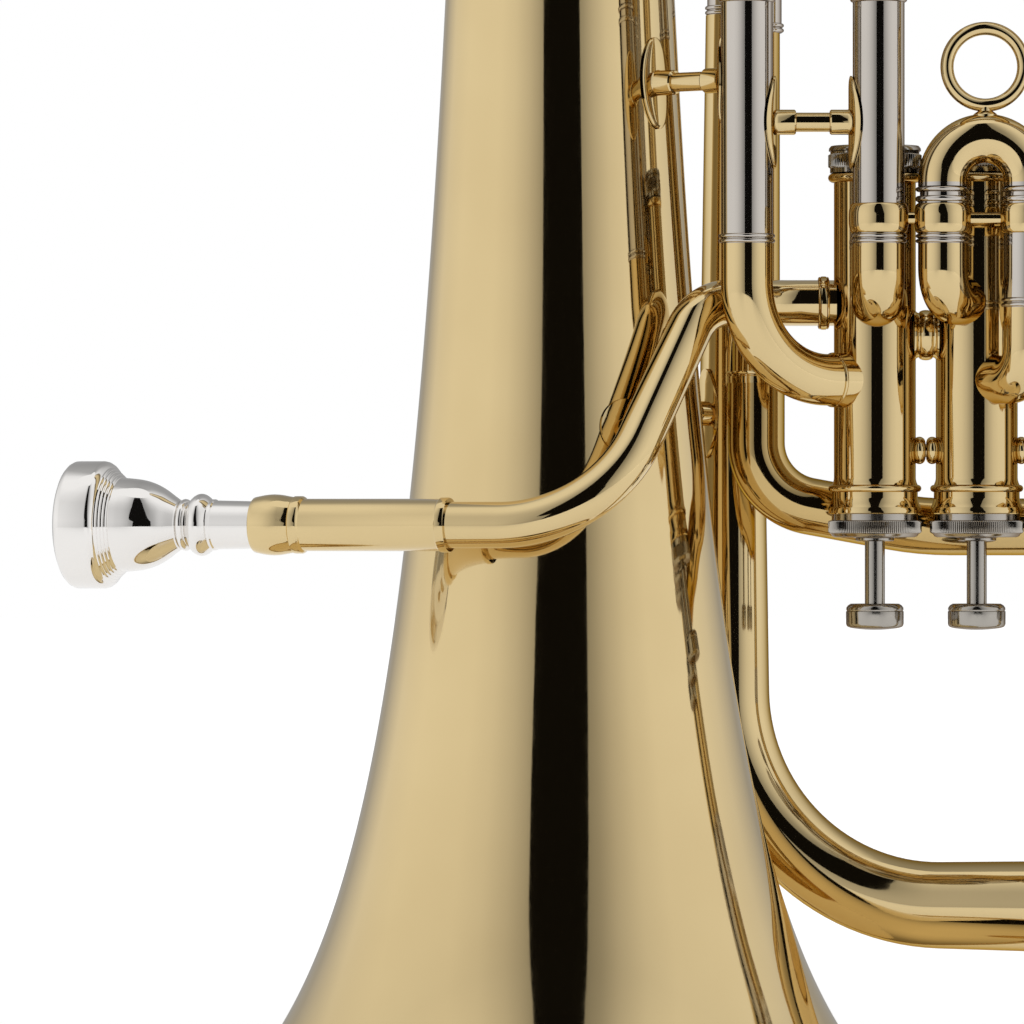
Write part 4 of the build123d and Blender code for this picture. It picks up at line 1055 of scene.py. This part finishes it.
# White cloth of the tent, all round the horn, that only reflections see: full white at the
# sides, grey beside the camera and behind the horn
TENT_R = 2.75
TENT_FOOT, TENT_TOP = -0.2, 9.0
CLOTH_GREYS = [
    (-180, 0.36), (-152, 0.45), (-126, 0.90), (-100, 1.0), (-60, 0.99), (-44, 0.90), (-30, 0.72),
    (-21, 0.55), (-14, 0.40), (14, 0.33), (22, 0.43), (32, 0.64), (46, 0.86), (62, 0.98), (100, 1.0),
    (122, 0.84), (150, 0.42), (180, 0.36),
]
CLOTH_RISE = [(0.0, 0.94), (0.08, 1.0), (0.27, 0.88), (0.55, 1.0), (1.0, 1.0)]
cloth, n, out = blank_look("tent_cloth")
glow = n.add("ShaderNodeEmission")
share, height = turn_and_height(n)
product = n.add("ShaderNodeMix", data_type="RGBA", blend_type="MULTIPLY")
product.inputs["Factor"].default_value = 1.0
n.link(grey_round(n, share, CLOTH_GREYS), product.inputs["A"])
n.link(grey_ramp(n, n.spread(height, 0.0, 1.0, TENT_FOOT, TENT_TOP), CLOTH_RISE), product.inputs["B"])
n.link(product.outputs["Result"], glow.inputs["Color"])
n.link(glow.outputs["Emission"], out.inputs["Surface"])


def sheet_round(radius, rows, steps=60):
    """Upright sheet round the origin; each row is a height and its two edge angles."""
    verts, faces = [], []
    for z, left, right in rows:
        for i in range(steps + 1):
            angle = math.radians(left + (right - left) * i / steps)
            verts.append((radius * math.sin(angle), -radius * math.cos(angle), z))
    for row in range(len(rows) - 1):
        for i in range(steps):
            a = row * (steps + 1) + i
            faces.append((a, a + 1, a + steps + 2, a + steps + 1))
    return verts, faces


# Tall black flag round the camera, just inside the cloth
FLAG_R = 2.7
FLAG_ROWS = [
    (TENT_FOOT, -12, 21), (0.55, -10, 21), (0.62, -11, 21), (0.70, -14.5, 20), (0.85, -17.5, 18.5),
    (1.1, -18, 17), (1.7, -17.5, 15), (2.9, -15, 13), (TENT_TOP, -14, 12.5),
]
black, n, out = blank_look("flag_black")
dark = n.add("ShaderNodeEmission")
dark.inputs["Color"].default_value = (0.006, 0.0055, 0.005, 1)
n.link(dark.outputs["Emission"], out.inputs["Surface"])

tent_rows = [(TENT_FOOT, -180, 180), (TENT_TOP, -180, 180)]
tent = staged("tent_wall", *sheet_round(TENT_R, tent_rows, 180), cloth)
flag = staged("camera_flag", *sheet_round(FLAG_R, FLAG_ROWS), black)
for sheet in (tent, flag):
    sheet.visible_camera = False
    sheet.visible_diffuse = False
    sheet.visible_shadow = False
    sheet.visible_transmission = False

# White world: full white where it is seen or mirrored, softer as light
WORLD_AS_LIGHT, WORLD_AS_SEEN = 0.45, 1.0
world = bpy.data.worlds.new("tent")
bpy.context.scene.world = world
world.use_nodes = True
n = Nodes(world.node_tree)
out = n.add("ShaderNodeOutputWorld")
ray = n.add("ShaderNodeLightPath")
seen = n.maths("MAXIMUM", ray.outputs["Is Camera Ray"], ray.outputs["Is Glossy Ray"])
seen = n.maths("MAXIMUM", seen, ray.outputs["Is Transmission Ray"])
back = n.add("ShaderNodeBackground")
back.inputs["Color"].default_value = (1, 1, 1, 1)
n.link(n.spread(seen, WORLD_AS_LIGHT, WORLD_AS_SEEN), back.inputs["Strength"])
n.link(back.outputs["Background"], out.inputs["Surface"])

LAMP_AIM = Vector((0.08, 0, 0.3))


def lamp(name, at, size, radiance):
    """Square soft box that faces the horn, of a given radiance."""
    light = bpy.data.lights.new(name, "AREA")
    light.shape = "SQUARE"
    light.size = size
    light.energy = radiance * math.pi * size * size
    thing = bpy.data.objects.new(name, light)
    bpy.context.scene.collection.objects.link(thing)
    thing.location = at
    thing.rotation_euler = (LAMP_AIM - Vector(at)).to_track_quat("-Z", "Y").to_euler()
    thing.visible_glossy = False


lamp("key", (-2.2, -1.5, 1.9), 1.5, 1.25)
lamp("fill", (2.4, -1.2, 1.4), 1.5, 1.1)
lamp("top", (0.2, 0.6, 2.9), 1.8, 1.1)

# ------------------------------------------------------------------ camera
# Level, with a long lens, straight in front of the valves
CAMERA_AT = (-0.0148, -2.3, 0.2042)
CAMERA_LENS = 262.5
camera_data = bpy.data.cameras.new("camera")
camera_data.sensor_width = 36.0
camera_data.lens = CAMERA_LENS
camera_data.clip_end = 60.0
camera = bpy.data.objects.new("camera", camera_data)
camera.location = CAMERA_AT
camera.rotation_euler = (math.pi / 2, 0, 0)
bpy.context.scene.collection.objects.link(camera)
bpy.context.scene.camera = camera
bpy.context.scene.view_settings.view_transform = "Standard"
